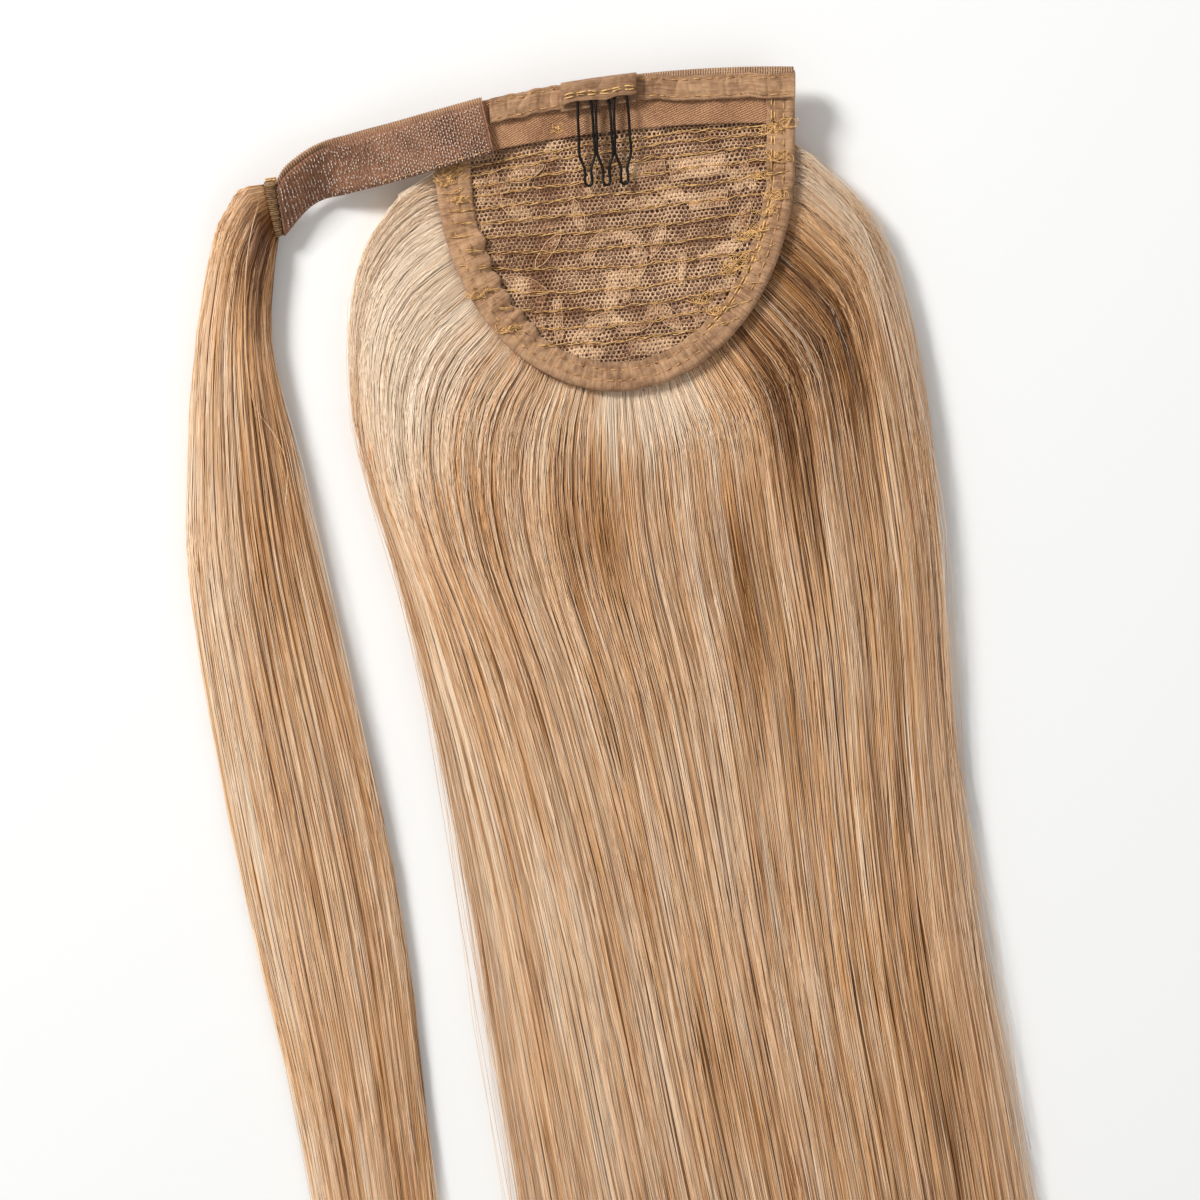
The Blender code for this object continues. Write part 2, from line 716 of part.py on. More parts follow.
def add_wrap_hair(material, collection):
    """The narrow lock that is wound round the ponytail, in smaller locks fused side by side."""
    upper, lower, out = strap_end()
    away = out * (2 * SEAM_GAP + 2 * WRAP_ROLL_RADIUS)
    root = (upper + lower) / 2 + away
    columns = LOCK_COLUMNS * WRAP_LOCKS
    shares = [column / columns for column in range(columns + 1)]
    rings = [root_ring(upper + away, lower + away, shares)]
    for row in with_halfway_rows(WRAP_ROWS, WRAP_BENDS):
        turn = math.radians(row.turn)
        across = Vector((math.cos(turn), -math.sin(turn), 0)) * (row.half * WRAP_HALF_WIDTH)
        x = root.x + row.lean * WRAP_LEAN
        centre = Vector((x, root.y - row.drop * WRAP_DROP, 0))
        last = row is WRAP_ROWS[-1]
        tops, undersides = [], []
        for at in shares:
            side = 2 * at - 1
            groove, tip = lock_shape(at, WRAP_LOCKS)
            round_side = math.sqrt(1 - side ** 2)
            thick = row.thick * WRAP_THICKNESS * mix(HAIR_EDGE_SHARE, 1, round_side)
            lift = WRAP_THICKNESS * max(mix(row.left_lift, row.right_lift, at), 0.0)
            reach = Vector((0, -WRAP_LOCK_TIP * tip * last, lift))
            depth = WRAP_LOCK_GROOVE * groove * row.thick
            tops.append(centre + across * side + reach + Vector((0, 0, thick - depth)))
            undersides.append(centre + across * (side * (1 - 2 * HAIR_UNDERCUT)) + reach)
        rings.append(closed_ring(tops, undersides))
    return loft("wrap_hair", rings, material, collection)


def root_ring(upper, lower, shares):
    """The wrap hair's first section, as thick as the roll that it is sewn into."""
    tops, undersides = [], []
    for at in shares:
        middle = upper.lerp(lower, at)
        bulge = WRAP_ROLL_RADIUS * mix(0.4, 1, math.sin(math.pi * at))
        tops.append(middle + Vector((0, 0, bulge)))
        undersides.append(middle - Vector((0, 0, bulge)))
    return closed_ring(tops, undersides)


def centre_on_footprint(collection):
    """Parents every piece to an empty, and moves it so that the footprint's middle is the origin."""
    bpy.context.view_layer.update()
    graph = bpy.context.evaluated_depsgraph_get()
    corners = []
    for piece in collection.objects:
        seen = piece.evaluated_get(graph)
        mesh = seen.to_mesh()
        corners += [seen.matrix_world @ vertex.co for vertex in mesh.vertices]
        seen.to_mesh_clear()
    low = Vector([min(corner[axis] for corner in corners) for axis in range(3)])
    high = Vector([max(corner[axis] for corner in corners) for axis in range(3)])
    origin = bpy.data.objects.new("hairpiece_origin", None)
    bpy.context.scene.collection.objects.link(origin)
    for piece in collection.objects:
        piece.parent = origin
    origin.matrix_world = Matrix.Translation((-(low.x + high.x) / 2, -(low.y + high.y) / 2, -low.z))


def main():
    clear_scene()
    collection = bpy.data.collections.new("ponytail_hairpiece")
    bpy.context.scene.collection.children.link(collection)
    materials = {name: make_material(name) for name in MATERIALS}
    add_net(materials["net"], collection)
    add_rim_tape(materials["tape"], collection)
    add_elastic(materials["elastic"], collection)
    add_top_tape(materials["tape"], collection)
    add_comb(materials["wire"], collection)
    add_sleeve(materials["tape"], collection)
    add_strap(materials["elastic"], collection)
    add_hook_tape(materials["hook"], collection)
    add_main_hair(materials["hair"], collection)
    add_wrap_roll(materials["hair_root"], collection)
    add_wrap_hair(materials["hair"], collection)
    centre_on_footprint(collection)


main()
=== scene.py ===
"""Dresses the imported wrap-round ponytail hairpiece: its hair, lace net, tapes, comb and strap.

Lengths are metres. The shapes of the cap, the strap and the hair are worked out from a point on the
table below the middle of the cap's widest line, as they were drawn, and ORIGIN moves them into the
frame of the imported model. X runs to the right along the cap, Y towards its top edge, and Z up.
"""

import sys

import logging
import math
from dataclasses import dataclass
from enum import Enum
from typing import Callable, Sequence

import bpy
import numpy as np
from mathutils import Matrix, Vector


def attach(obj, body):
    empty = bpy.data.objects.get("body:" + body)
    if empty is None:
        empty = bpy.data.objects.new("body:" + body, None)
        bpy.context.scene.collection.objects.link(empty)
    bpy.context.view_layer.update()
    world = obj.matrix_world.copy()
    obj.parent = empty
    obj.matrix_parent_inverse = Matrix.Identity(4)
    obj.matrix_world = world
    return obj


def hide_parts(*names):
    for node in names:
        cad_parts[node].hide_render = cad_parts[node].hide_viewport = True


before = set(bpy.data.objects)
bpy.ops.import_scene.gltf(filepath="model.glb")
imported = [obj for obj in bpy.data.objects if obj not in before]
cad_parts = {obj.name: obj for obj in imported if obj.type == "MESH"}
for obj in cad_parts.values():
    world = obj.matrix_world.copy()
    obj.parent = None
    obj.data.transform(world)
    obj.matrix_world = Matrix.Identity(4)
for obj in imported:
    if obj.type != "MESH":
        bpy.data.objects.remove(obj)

Array = np.ndarray
Values = Array | float
Colour = tuple[float, float, float]
Piece = bpy.types.Object
Material = bpy.types.Material
Socket = bpy.types.NodeSocket

LOG = logging.getLogger("hairpiece")
ORIGIN = np.array((-0.002459, 0.176207, 0.0))
BAKE_MAP = "OFBake"
CLOTH_MAP = "cloth"
FLOW_MAP = "flow"
PIXEL = 0.0003
PHOTO_X = 615
PHOTO_Y = 160
RIM_LENGTH = 0.205
STRAP_LENGTH = 0.0685
FULL_TURN = 6.28
SMOOTHED_SPANS = 6
# Painted shade: the beds under the loose hairs take the hair's colours darkened, for the shade
# between the hairs.
BED_SHADE_COLOURS = {
    "dark": (0.14, 0.052, 0.016),
    "brown": (0.38, 0.185, 0.075),
    "honey": (0.62, 0.350, 0.155),
    "pale": (0.84, 0.560, 0.310),
    "bump": 0.0004,
}


def mix(start: Values, end: Values, share: Values) -> Values:
    """The value a share of the way from start to end."""
    return start + (end - start) * share


def smooth_step(value: Values) -> Values:
    """Rises smoothly from 0 to 1 as the value does."""
    value = np.clip(value, 0.0, 1.0)
    return value * value * (3 - 2 * value)


def bell(value: Values, middle: float, width: float) -> Values:
    """Rises from 0 to 1 at the middle and falls again."""
    return np.exp(-(((value - middle) / width) ** 2))


def drift(x: Array, y: Array, scale: float, seed: int) -> Array:
    """Smooth irregular relief from a few crossing waves.

    Args:
        x: Places along X.
        y: Places along Y.
        scale: The usual length of a wave.
        seed: Chooses the waves.

    Returns:
        Values of about -1 to 1.
    """
    chance = np.random.default_rng(seed)
    total = np.zeros(np.broadcast(x, y).shape)
    for _ in range(6):
        angle, phase = chance.uniform(0, 2 * math.pi, 2)
        length = scale * chance.uniform(0.6, 1.6)
        total += np.sin((x * math.cos(angle) + y * math.sin(angle)) * 2 * math.pi / length + phase)
    return total / 3


def creases(x: Array, y: Array, scale: float, seed: int, narrow: float = 0.12) -> Array:
    """Narrow wandering valleys, 0 on open ground and -1 along their bottoms."""
    return -bell(drift(x, y, scale, seed), 0.0, narrow)


def photo_place(across: Values, down: Values) -> tuple[Values, Values]:
    """The cap's own X and Y of a place counted in the photo's pixels."""
    return (across - PHOTO_X) * PIXEL, (PHOTO_Y - down) * PIXEL


def chord_knots(rows: Array) -> Array:
    """How far along the path each row of points is, on average over the points of a row."""
    steps = np.linalg.norm(np.diff(rows, axis=0), axis=-1)
    steps = steps.reshape(len(steps), -1).mean(axis=1)
    return np.concatenate([[0.0], np.cumsum(steps)])


def curve_through(rows: Array, knots: Array, at: Array) -> Array:
    """A smooth curve through rows of points.

    Args:
        rows: The points, first by row, then by path, then X, Y and Z.
        knots: How far along each row is.
        at: How far along each wanted point is, first by point, then by path.

    Returns:
        The points, first by point, then by path.
    """
    slopes = np.gradient(rows, knots, axis=0)
    at = np.clip(at, knots[0], knots[-1])
    first = np.clip(np.searchsorted(knots, at, side="right") - 1, 0, len(knots) - 2)
    path = np.broadcast_to(np.arange(rows.shape[1]), at.shape)
    span = (knots[first + 1] - knots[first])[..., None]
    share = (at - knots[first])[..., None] / span
    square, cube = share ** 2, share ** 3
    return (
        rows[first, path] * (2 * cube - 3 * square + 1)
        + rows[first + 1, path] * (3 * square - 2 * cube)
        + slopes[first, path] * (cube - 2 * square + share) * span
        + slopes[first + 1, path] * (cube - square) * span
    )


# The bench: how pieces are made and put in place


class Bench:
    """Makes meshes, and hands finished pieces to the frame."""

    made: list[str] = []

    @staticmethod
    def deselect() -> None:
        """Leaves nothing selected."""
        for chosen in list(bpy.context.selected_objects):
            chosen.select_set(False)

    @staticmethod
    def choose(piece: Piece) -> None:
        """Makes one piece the selected and active one."""
        Bench.deselect()
        piece.select_set(True)
        bpy.context.view_layer.objects.active = piece

    @staticmethod
    def apply(piece: Piece, kind: str, **settings: object) -> None:
        """Adds a modifier to the piece and applies it.

        Args:
            piece: The piece that is shaped.
            kind: Blender's name for the modifier.
            **settings: The modifier's own settings.
        """
        Bench.choose(piece)
        modifier = piece.modifiers.new(kind.lower(), kind)
        for name, value in settings.items():
            setattr(modifier, name, value)
        bpy.ops.object.modifier_apply(modifier=modifier.name)

    @staticmethod
    def places(piece: Piece) -> Array:
        """The piece's vertices."""
        values = np.zeros(len(piece.data.vertices) * 3, np.float32)
        piece.data.vertices.foreach_get("co", values)
        return values.reshape(-1, 3)

    @staticmethod
    def move(piece: Piece, places: Array) -> None:
        """Moves the piece's vertices to new places."""
        piece.data.vertices.foreach_set("co", places.astype(np.float32).ravel())
        piece.data.update()

    @staticmethod
    def grid(
        name: str,
        columns: int,
        rows: int,
        place: Callable[[Array, Array], Array],
        wall: float,
        relief: Callable[[Array, Array], Array] | None = None,
    ) -> Piece:
        """A cloth wall: a flat grid that is laid in place and given its thickness.

        Args:
            name: The piece's name.
            columns: Faces across.
            rows: Faces down.
            place: Gives the middle of the wall for shares of 0 to 1 across and down.
            wall: The cloth's thickness.
            relief: Gives how far both faces stand out at shares across and down.

        Returns:
            The closed piece, with a bake map of 0 to 1 across and down.
        """
        Bench.deselect()
        bpy.ops.mesh.primitive_grid_add(x_subdivisions=columns, y_subdivisions=rows, size=1)
        piece = bpy.context.object
        piece.name = piece.data.name = name
        flat = Bench.places(piece)
        across, down = flat[:, 0] + 0.5, 0.5 - flat[:, 1]
        Bench.move(piece, place(across, down) + ORIGIN)
        piece.data.uv_layers[0].name = BAKE_MAP
        Bench.apply(piece, "SOLIDIFY", thickness=wall, offset=0.0, use_even_offset=False)
        if relief:
            placed = Bench.places(piece).reshape(2, -1, 3)
            out = (placed - placed[::-1]) / wall
            Bench.move(piece, placed + out * relief(across, down)[None, :, None])
        piece.data.shade_smooth()
        return piece

    @staticmethod
    def add_map(piece: Piece, width: float, length: float, label: str = CLOTH_MAP) -> None:
        """Adds a map of the flat cloth, which is in metres for a weave.

        Args:
            piece: A piece from grid.
            width: The map's size across.
            length: The map's size down.
            label: The map's name.
        """
        source = piece.data.uv_layers[BAKE_MAP]
        values = np.zeros(len(piece.data.loops) * 2, np.float32)
        source.uv.foreach_get("vector", values)
        scaled = values.reshape(-1, 2) * np.array((width, length), np.float32)
        cloth = piece.data.uv_layers.new(name=label, do_init=False)
        cloth.uv.foreach_set("vector", scaled.ravel())

    @staticmethod
    def mesh(
        name: str, points: Array, quads: Array, triangles: Array, maps: dict[str, Array]
    ) -> Piece:
        """A piece from arrays, for shapes of thousands of small parts.

        Args:
            name: The piece's name.
            points: The vertices, in the cap's own coordinates.
            quads: Four vertices for each face.
            triangles: Three vertices for each face, after the quads.
            maps: For each map, a place for each corner of each face.

        Returns:
            The new piece, shaded smooth.
        """
        mesh = bpy.data.meshes.new(name)
        corners = np.concatenate([quads.ravel(), triangles.ravel()]).astype(np.int32)
        starts = np.concatenate(
            [4 * np.arange(len(quads)), 4 * len(quads) + 3 * np.arange(len(triangles))]
        )
        mesh.vertices.add(len(points))
        mesh.vertices.foreach_set("co", (points + ORIGIN).astype(np.float32).ravel())
        mesh.loops.add(len(corners))
        mesh.loops.foreach_set("vertex_index", corners)
        mesh.polygons.add(len(starts))
        mesh.polygons.foreach_set("loop_start", starts.astype(np.int32))
        mesh.update(calc_edges=True)
        for label, places in maps.items():
            layer = mesh.uv_layers.new(name=label, do_init=False)
            layer.uv.foreach_set("vector", places.astype(np.float32).ravel())
        mesh.shade_smooth()
        piece = bpy.data.objects.new(name, mesh)
        bpy.context.scene.collection.objects.link(piece)
        return piece

    @staticmethod
    def hand_over(piece: Piece, finish: Material, slot: str, nodes: Sequence[str]) -> Piece:
        """Gives a piece its finish and fixes it to the frame.

        Args:
            piece: The finished piece.
            finish: Its material.
            slot: The record's slot for its finish; not used.
            nodes: The CAD nodes that it stands for.

        Returns:
            The same piece.
        """
        piece.data.materials.clear()
        piece.data.materials.append(finish)
        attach(piece, "root")
        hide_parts(*nodes)
        triangles = sum(len(face.vertices) - 2 for face in piece.data.polygons)
        LOG.info("%s: %d triangles", piece.name, triangles)
        Bench.made.append(piece.name)
        return piece


class Tubes:
    """Gathers closed tubes, such as hairs, threads and stitches, into one mesh."""

    def __init__(self) -> None:
        """Starts with no tubes."""
        self.points: list[Array] = []
        self.quads: list[Array] = []
        self.triangles: list[Array] = []
        self.quad_flow: list[Array] = []
        self.triangle_flow: list[Array] = []
        self.count = 0

    def add(
        self,
        paths: Array,
        radius: Values,
        sides: int = 3,
        tone: Array | None = None,
        tone_width: float = 0.001,
        along: Array | None = None,
    ) -> None:
        """Adds tubes along paths of equally many points.

        Args:
            paths: The points, first by point, then by path.
            radius: The radius, one for all or one for each point of each path.
            sides: How many sides each tube has.
            tone: Where each path lies across the flow map.
            tone_width: How much of the flow map a path takes.
            along: How far down the flow map each point is.
        """
        count, many = paths.shape[:2]
        radius = np.broadcast_to(np.asarray(radius, float), (count, many))
        tone = np.linspace(0, 1 - tone_width, many) if tone is None else tone
        if along is None:
            along = np.broadcast_to(np.linspace(0, 1, count)[:, None], (count, many))
        tangent = np.gradient(paths, axis=0)
        tangent /= np.maximum(np.linalg.norm(tangent, axis=-1, keepdims=True), 1e-12)
        up = np.zeros_like(tangent)
        up[..., 2] = 1.0
        up[..., 0] = 0.01
        side = np.cross(tangent, up)
        side /= np.maximum(np.linalg.norm(side, axis=-1, keepdims=True), 1e-12)
        normal = np.cross(side, tangent)
        turn = 2 * math.pi * (np.arange(sides) / sides + 0.25)
        ring = (
            side[:, :, None] * np.cos(turn)[:, None] + normal[:, :, None] * np.sin(turn)[:, None]
        )
        points = paths[:, :, None] + ring * radius[:, :, None, None]
        index = self.count + np.arange(count * many * sides).reshape(count, many, sides)
        after = np.roll(index, -1, axis=2)
        quads = np.stack([index[:-1], index[1:], after[1:], after[:-1]], axis=-1)
        left = (tone[:, None] + tone_width * np.arange(sides) / sides)[None]
        left = np.broadcast_to(left, (count - 1, many, sides))
        right = left + tone_width / sides
        near = np.broadcast_to(along[:-1, :, None], left.shape)
        far = np.broadcast_to(along[1:, :, None], left.shape)
        across = np.stack([left, left, right, right], axis=-1)
        down = np.stack([near, far, far, near], axis=-1)
        self.points.append(points.reshape(-1, 3))
        self.quads.append(quads.reshape(-1, 4))
        self.quad_flow.append(np.stack([across, down], axis=-1).reshape(-1, 2))
        for end, order in ((0, 1), (count - 1, -1)):
            loop = index[end][:, ::order]
            fan = [loop[:, (0, step, step + 1)] for step in range(1, sides - 1)]
            self.triangles.append(np.concatenate(fan))
            place = np.array(((0.0, 0.0), (0.5, 0.002), (1.0, 0.0))) * (tone_width, 1.0)
            spot = np.stack([tone, along[end]], axis=-1)[:, None] + place
            self.triangle_flow.append(np.tile(spot, (sides - 2, 1, 1)).reshape(-1, 2))
        self.count += points[..., 0].size

    def build(self, name: str, window: tuple[float, float] = (0.0, 1.0)) -> Piece:
        """Makes the mesh.

        Args:
            name: The piece's name.
            window: The part of the flow map across that the bake map spreads over its image.

        Returns:
            The new piece, with the flow map and the bake map.
        """
        flow = np.concatenate(self.quad_flow + self.triangle_flow)
        low, high = window
        bake = np.stack([(flow[:, 0] - low) / (high - low), flow[:, 1]], axis=-1)
        return Bench.mesh(
            name,
            np.concatenate(self.points),
            np.concatenate(self.quads),
            np.concatenate(self.triangles),
            {BAKE_MAP: np.clip(bake, 0.001, 0.999), FLOW_MAP: flow},
        )


# Finishes


class Sketch:
    """Lays out the nodes of one material."""

    def __init__(self, name: str) -> None:
        """Starts a material with its Principled shader."""
        self.material = bpy.data.materials.new(name)
        self.material.use_nodes = True
        self.tree = self.material.node_tree
        self.shader = self.tree.nodes["Principled BSDF"]

    def node(self, kind: str, **settings: object) -> bpy.types.Node:
        """Adds a node with its settings."""
        made = self.tree.nodes.new(kind)
        for name, value in settings.items():
            setattr(made, name, value)
        return made

    def feed(self, socket: Socket, value: object) -> None:
        """Links a socket, or sets its number."""
        if isinstance(value, Socket):
            self.tree.links.new(value, socket)
        else:
            socket.default_value = value

    def mapped(
        self,
        source: str | None,
        scale: tuple[float, float, float] = (1, 1, 1),
        turn: float = 0.0,
        shift: tuple[float, float, float] = (0, 0, 0),
    ) -> Socket:
        """Coordinates from a map, or from the object where there is none.

        Args:
            source: The map's name, or None for the object's own coordinates.
            scale: How the coordinates are scaled.
            turn: How far they are turned, in radians.
            shift: What is added to them.

        Returns:
            The vector socket.
        """
        mapping = self.node("ShaderNodeMapping")
        mapping.inputs["Scale"].default_value = scale
        mapping.inputs["Rotation"].default_value = (0, 0, turn)
        mapping.inputs["Location"].default_value = shift
        if source:
            start = self.node("ShaderNodeUVMap", uv_map=source).outputs["UV"]
        else:
            start = self.node("ShaderNodeTexCoord").outputs["Object"]
        self.tree.links.new(start, mapping.inputs["Vector"])
        return mapping.outputs["Vector"]

    def noise(
        self,
        place: Socket,
        scale: float,
        detail: float = 2.0,
        distortion: float = 0.0,
    ) -> Socket:
        """Noise at a place, of about 0.3 to 0.7."""
        made = self.node("ShaderNodeTexNoise")
        self.feed(made.inputs["Vector"], place)
        made.inputs["Scale"].default_value = scale
        made.inputs["Detail"].default_value = detail
        made.inputs["Distortion"].default_value = distortion
        return made.outputs["Fac"]

    def sum(self, operation: str, first: object, second: object = 0.0) -> Socket:
        """A sum of two numbers or sockets, by Blender's name for the operation."""
        made = self.node("ShaderNodeMath", operation=operation)
        self.feed(made.inputs[0], first)
        self.feed(made.inputs[1], second)
        return made.outputs[0]

    def times(self, first: object, second: object) -> Socket:
        """The product of two numbers or sockets."""
        return self.sum("MULTIPLY", first, second)

    def total(self, *parts: object) -> Socket:
        """The sum of several numbers or sockets, added in order."""
        sum_so_far = parts[0]
        for part in parts[1:]:
            sum_so_far = self.sum("ADD", sum_so_far, part)
        return sum_so_far

    def streaks(
        self, source: str, scale: tuple[float, float, float], detail: float = 1.0
    ) -> Socket:
        """Noise on a map, drawn out by the map's scale."""
        return self.noise(self.mapped(source, scale), 1.0, detail)

    def shades(self, tone: Socket, deep: Colour, light: Colour, low: float = 0.0) -> Socket:
        """Colours from deep at a low tone to light at a tone of 1."""
        return self.ramp(tone, ((low, deep), (1.0, light)))

    def part(self, place: Socket, axis: int) -> Socket:
        """One coordinate of a place."""
        made = self.node("ShaderNodeSeparateXYZ")
        self.feed(made.inputs[0], place)
        return made.outputs[axis]

    def spread(
        self,
        value: Socket,
        low: float,
        high: float,
        to_low: float = 0.0,
        to_high: float = 1.0,
    ) -> Socket:
        """A value spread smoothly from one range over another.

        Args:
            value: The value.
            low: Where the first range begins.
            high: Where it ends.
            to_low: What low becomes.
            to_high: What high becomes.

        Returns:
            The new value's socket.
        """
        made = self.node("ShaderNodeMapRange", interpolation_type="SMOOTHSTEP")
        self.feed(made.inputs["Value"], value)
        for name, number in zip(
            ("From Min", "From Max", "To Min", "To Max"), (low, high, to_low, to_high)
        ):
            made.inputs[name].default_value = number
        return made.outputs["Result"]

    def patch(
        self, source: str | None, middle: tuple[float, float], reach: tuple[float, float], lift: float
    ) -> Socket:
        """A soft oval that rises to lift in its middle.

        Args:
            source: The map that it is drawn on.
            middle: Where its middle is.
            reach: How far it reaches each way.
            lift: Its value in the middle.

        Returns:
            The value's socket.
        """
        scale = (1 / reach[0], 1 / reach[1], 0)
        shift = (-middle[0] / reach[0], -middle[1] / reach[1], 0)
        away = self.node("ShaderNodeVectorMath", operation="LENGTH")
        self.feed(away.inputs[0], self.mapped(source, scale, shift=shift))
        return self.spread(away.outputs["Value"], 0.0, 1.0, lift, 0.0)

    def ramp(self, value: Socket, stops: Sequence[tuple[float, Colour]]) -> Socket:
        """Colours along a value."""
        made = self.node("ShaderNodeValToRGB")
        band = made.color_ramp
        while len(band.elements) < len(stops):
            band.elements.new(0.5)
        for element, (place, colour) in zip(band.elements, stops):
            element.position = place
            element.color = (*colour, 1.0)
        self.feed(made.inputs["Fac"], value)
        return made.outputs["Color"]

    def blend(self, share: Socket, first: object, second: object) -> Socket:
        """One colour turning into another."""
        made = self.node("ShaderNodeMix", data_type="RGBA")
        self.feed(made.inputs[0], share)
        for socket, colour in ((made.inputs[6], first), (made.inputs[7], second)):
            self.feed(socket, (*colour, 1.0) if isinstance(colour, tuple) else colour)
        return made.outputs[2]

    def bump(self, height: Socket, depth: float, strength: float = 1.0) -> None:
        """Raises the surface by a height of 0 to 1 times a depth."""
        made = self.node("ShaderNodeBump")
        made.inputs["Strength"].default_value = strength
        made.inputs["Distance"].default_value = depth
        self.feed(made.inputs["Height"], height)
        self.tree.links.new(made.outputs["Normal"], self.shader.inputs["Normal"])

    def finished(self, colour: Socket, roughness: object, **sockets: float) -> Material:
        """Joins the colour and the roughness to the shader.

        Args:
            colour: The surface's colour.
            roughness: A socket, or one number.
            **sockets: Other numbers by the shader's own names, with _ for a space.

        Returns:
            The finished material.
        """
        self.feed(self.shader.inputs["Base Color"], colour)
        self.feed(self.shader.inputs["Roughness"], roughness)
        for name, value in sockets.items():
            self.shader.inputs[name.replace("_", " ")].default_value = value
        return self.material


@dataclass(frozen=True)
class Patch:
    """A soft oval on the flow map where hair is lighter or darker."""

    across: float
    down: float
    half_across: float
    half_down: float
    lift: float


@dataclass(frozen=True)
class HairFinish:
    """Fine straight hair: streaks from lock to lock, hair to hair and along each hair, with painted
    shade at the root and in clefts near the rim, and painted light on its left side.
    """

    name: str
    dark: Colour = (0.16, 0.060, 0.018)
    brown: Colour = (0.52, 0.258, 0.108)
    honey: Colour = (0.86, 0.522, 0.258)
    pale: Colour = (1.00, 0.820, 0.625)
    strands_across: float = 900.0
    locks_across: float = 46.0
    broad_across: float = 9.0
    bump: float = 0.0
    left_lift: float = 0.26
    rim_cleft_shade: float = 1.15
    root_dark: float = 0.75
    patches: tuple[Patch, ...] = ()

    def material(self) -> Material:
        """Builds the hair's material."""
        sketch = Sketch(self.name)
        fine = sketch.streaks(FLOW_MAP, (self.strands_across, 7, 1))
        lock = sketch.streaks(FLOW_MAP, (self.locks_across, 2.6, 1), 2.0)
        broad = sketch.streaks(FLOW_MAP, (self.broad_across, 1.7, 1))
        tone = sketch.total(sketch.times(fine, 2.2), lock, sketch.times(broad, 0.8), -1.34)
        flow = sketch.mapped(FLOW_MAP)
        across, down = sketch.part(flow, 0), sketch.part(flow, 1)
        # Painted light: the hair is made lighter on its left, towards the key light, and darker on
        # its right.
        side = sketch.times(across, -self.left_lift)
        tone = sketch.total(tone, sketch.total(side, self.left_lift / 2))
        # Painted shade: dark clefts between the locks near the rim, stronger towards the right.
        rim_clefts = sketch.streaks(FLOW_MAP, (150, 1.2, 1))
        rim_clefts = sketch.spread(rim_clefts, 0.54, 0.68, 0.0, self.rim_cleft_shade)
        near = sketch.spread(down, 0.0, 0.055, 1.0, 0.0)
        near = sketch.times(near, sketch.spread(across, 0.1, 0.7, 0.35, 1.0))
        tone = sketch.sum("SUBTRACT", tone, sketch.times(rim_clefts, near))
        # Painted shade: the hair darkens at its root, where it comes out from under the rim or the
        # roll.
        tone = sketch.total(tone, sketch.spread(down, 0.002, 0.008, -self.root_dark, 0.0))
        for patch in self.patches:
            middle, reach = (patch.across, patch.down), (patch.half_across, patch.half_down)
            tone = sketch.total(tone, sketch.patch(FLOW_MAP, middle, reach, patch.lift))
        stops = ((0.0, self.dark), (0.28, self.brown), (0.58, self.honey), (1.0, self.pale))
        if self.bump:
            sketch.bump(fine, self.bump)
        rough = sketch.spread(fine, 0.3, 0.7, 0.46, 0.30)
        across = (0.63 * self.strands_across, 3, 1)
        cool = sketch.noise(sketch.mapped(FLOW_MAP, across, shift=(7, 3, 0)), 1.0, 1.0)
        hue = sketch.node("ShaderNodeHueSaturation")
        sketch.feed(hue.inputs["Saturation"], sketch.spread(cool, 0.40, 0.64, 1.10, 0.90))
        sketch.feed(hue.inputs["Color"], sketch.ramp(tone, stops))
        return sketch.finished(hue.outputs["Color"], rough, Specular_IOR_Level=0.5)


@dataclass(frozen=True)
class TapeFinish:
    """Plain-woven cotton tape, a little darker in random clouds."""

    name: str
    light: Colour = (0.70, 0.410, 0.222)
    deep: Colour = (0.32, 0.160, 0.078)
    thread: float = 0.00042
    relief: float = 0.00022

    def material(self) -> Material:
        """Builds the tape's material."""
        sketch = Sketch(self.name)
        turns = 2 * math.pi / self.thread
        weave = sketch.mapped(CLOTH_MAP, (turns, turns, 1))
        warp = sketch.sum("SINE", sketch.part(weave, 0))
        weft = sketch.sum("SINE", sketch.part(weave, 1))
        cross = sketch.times(warp, weft)
        cloud = sketch.noise(sketch.mapped(None), 140.0, 4.0, 0.4)
        slub = sketch.streaks(CLOTH_MAP, (90, 1600, 1), 2.0)
        fleck = sketch.noise(sketch.mapped(None, shift=(3, 0, 0)), 620.0, 2.0)
        tone = sketch.total(
            sketch.times(cross, 0.11),
            sketch.spread(cloud, 0.33, 0.67, 0.25, 0.85),
            sketch.spread(slub, 0.35, 0.65, -0.22, 0.22),
            sketch.spread(fleck, 0.36, 0.64, -0.17, 0.14),
        )
        sketch.bump(sketch.total(sketch.times(cross, 0.5), slub), self.relief)
        colour = sketch.shades(tone, self.deep, self.light)
        rough = sketch.spread(cloud, 0.3, 0.7, 0.72, 0.88)
        return sketch.finished(
            colour, rough, Specular_IOR_Level=0.25, Sheen_Weight=0.12, Sheen_Roughness=0.5
        )


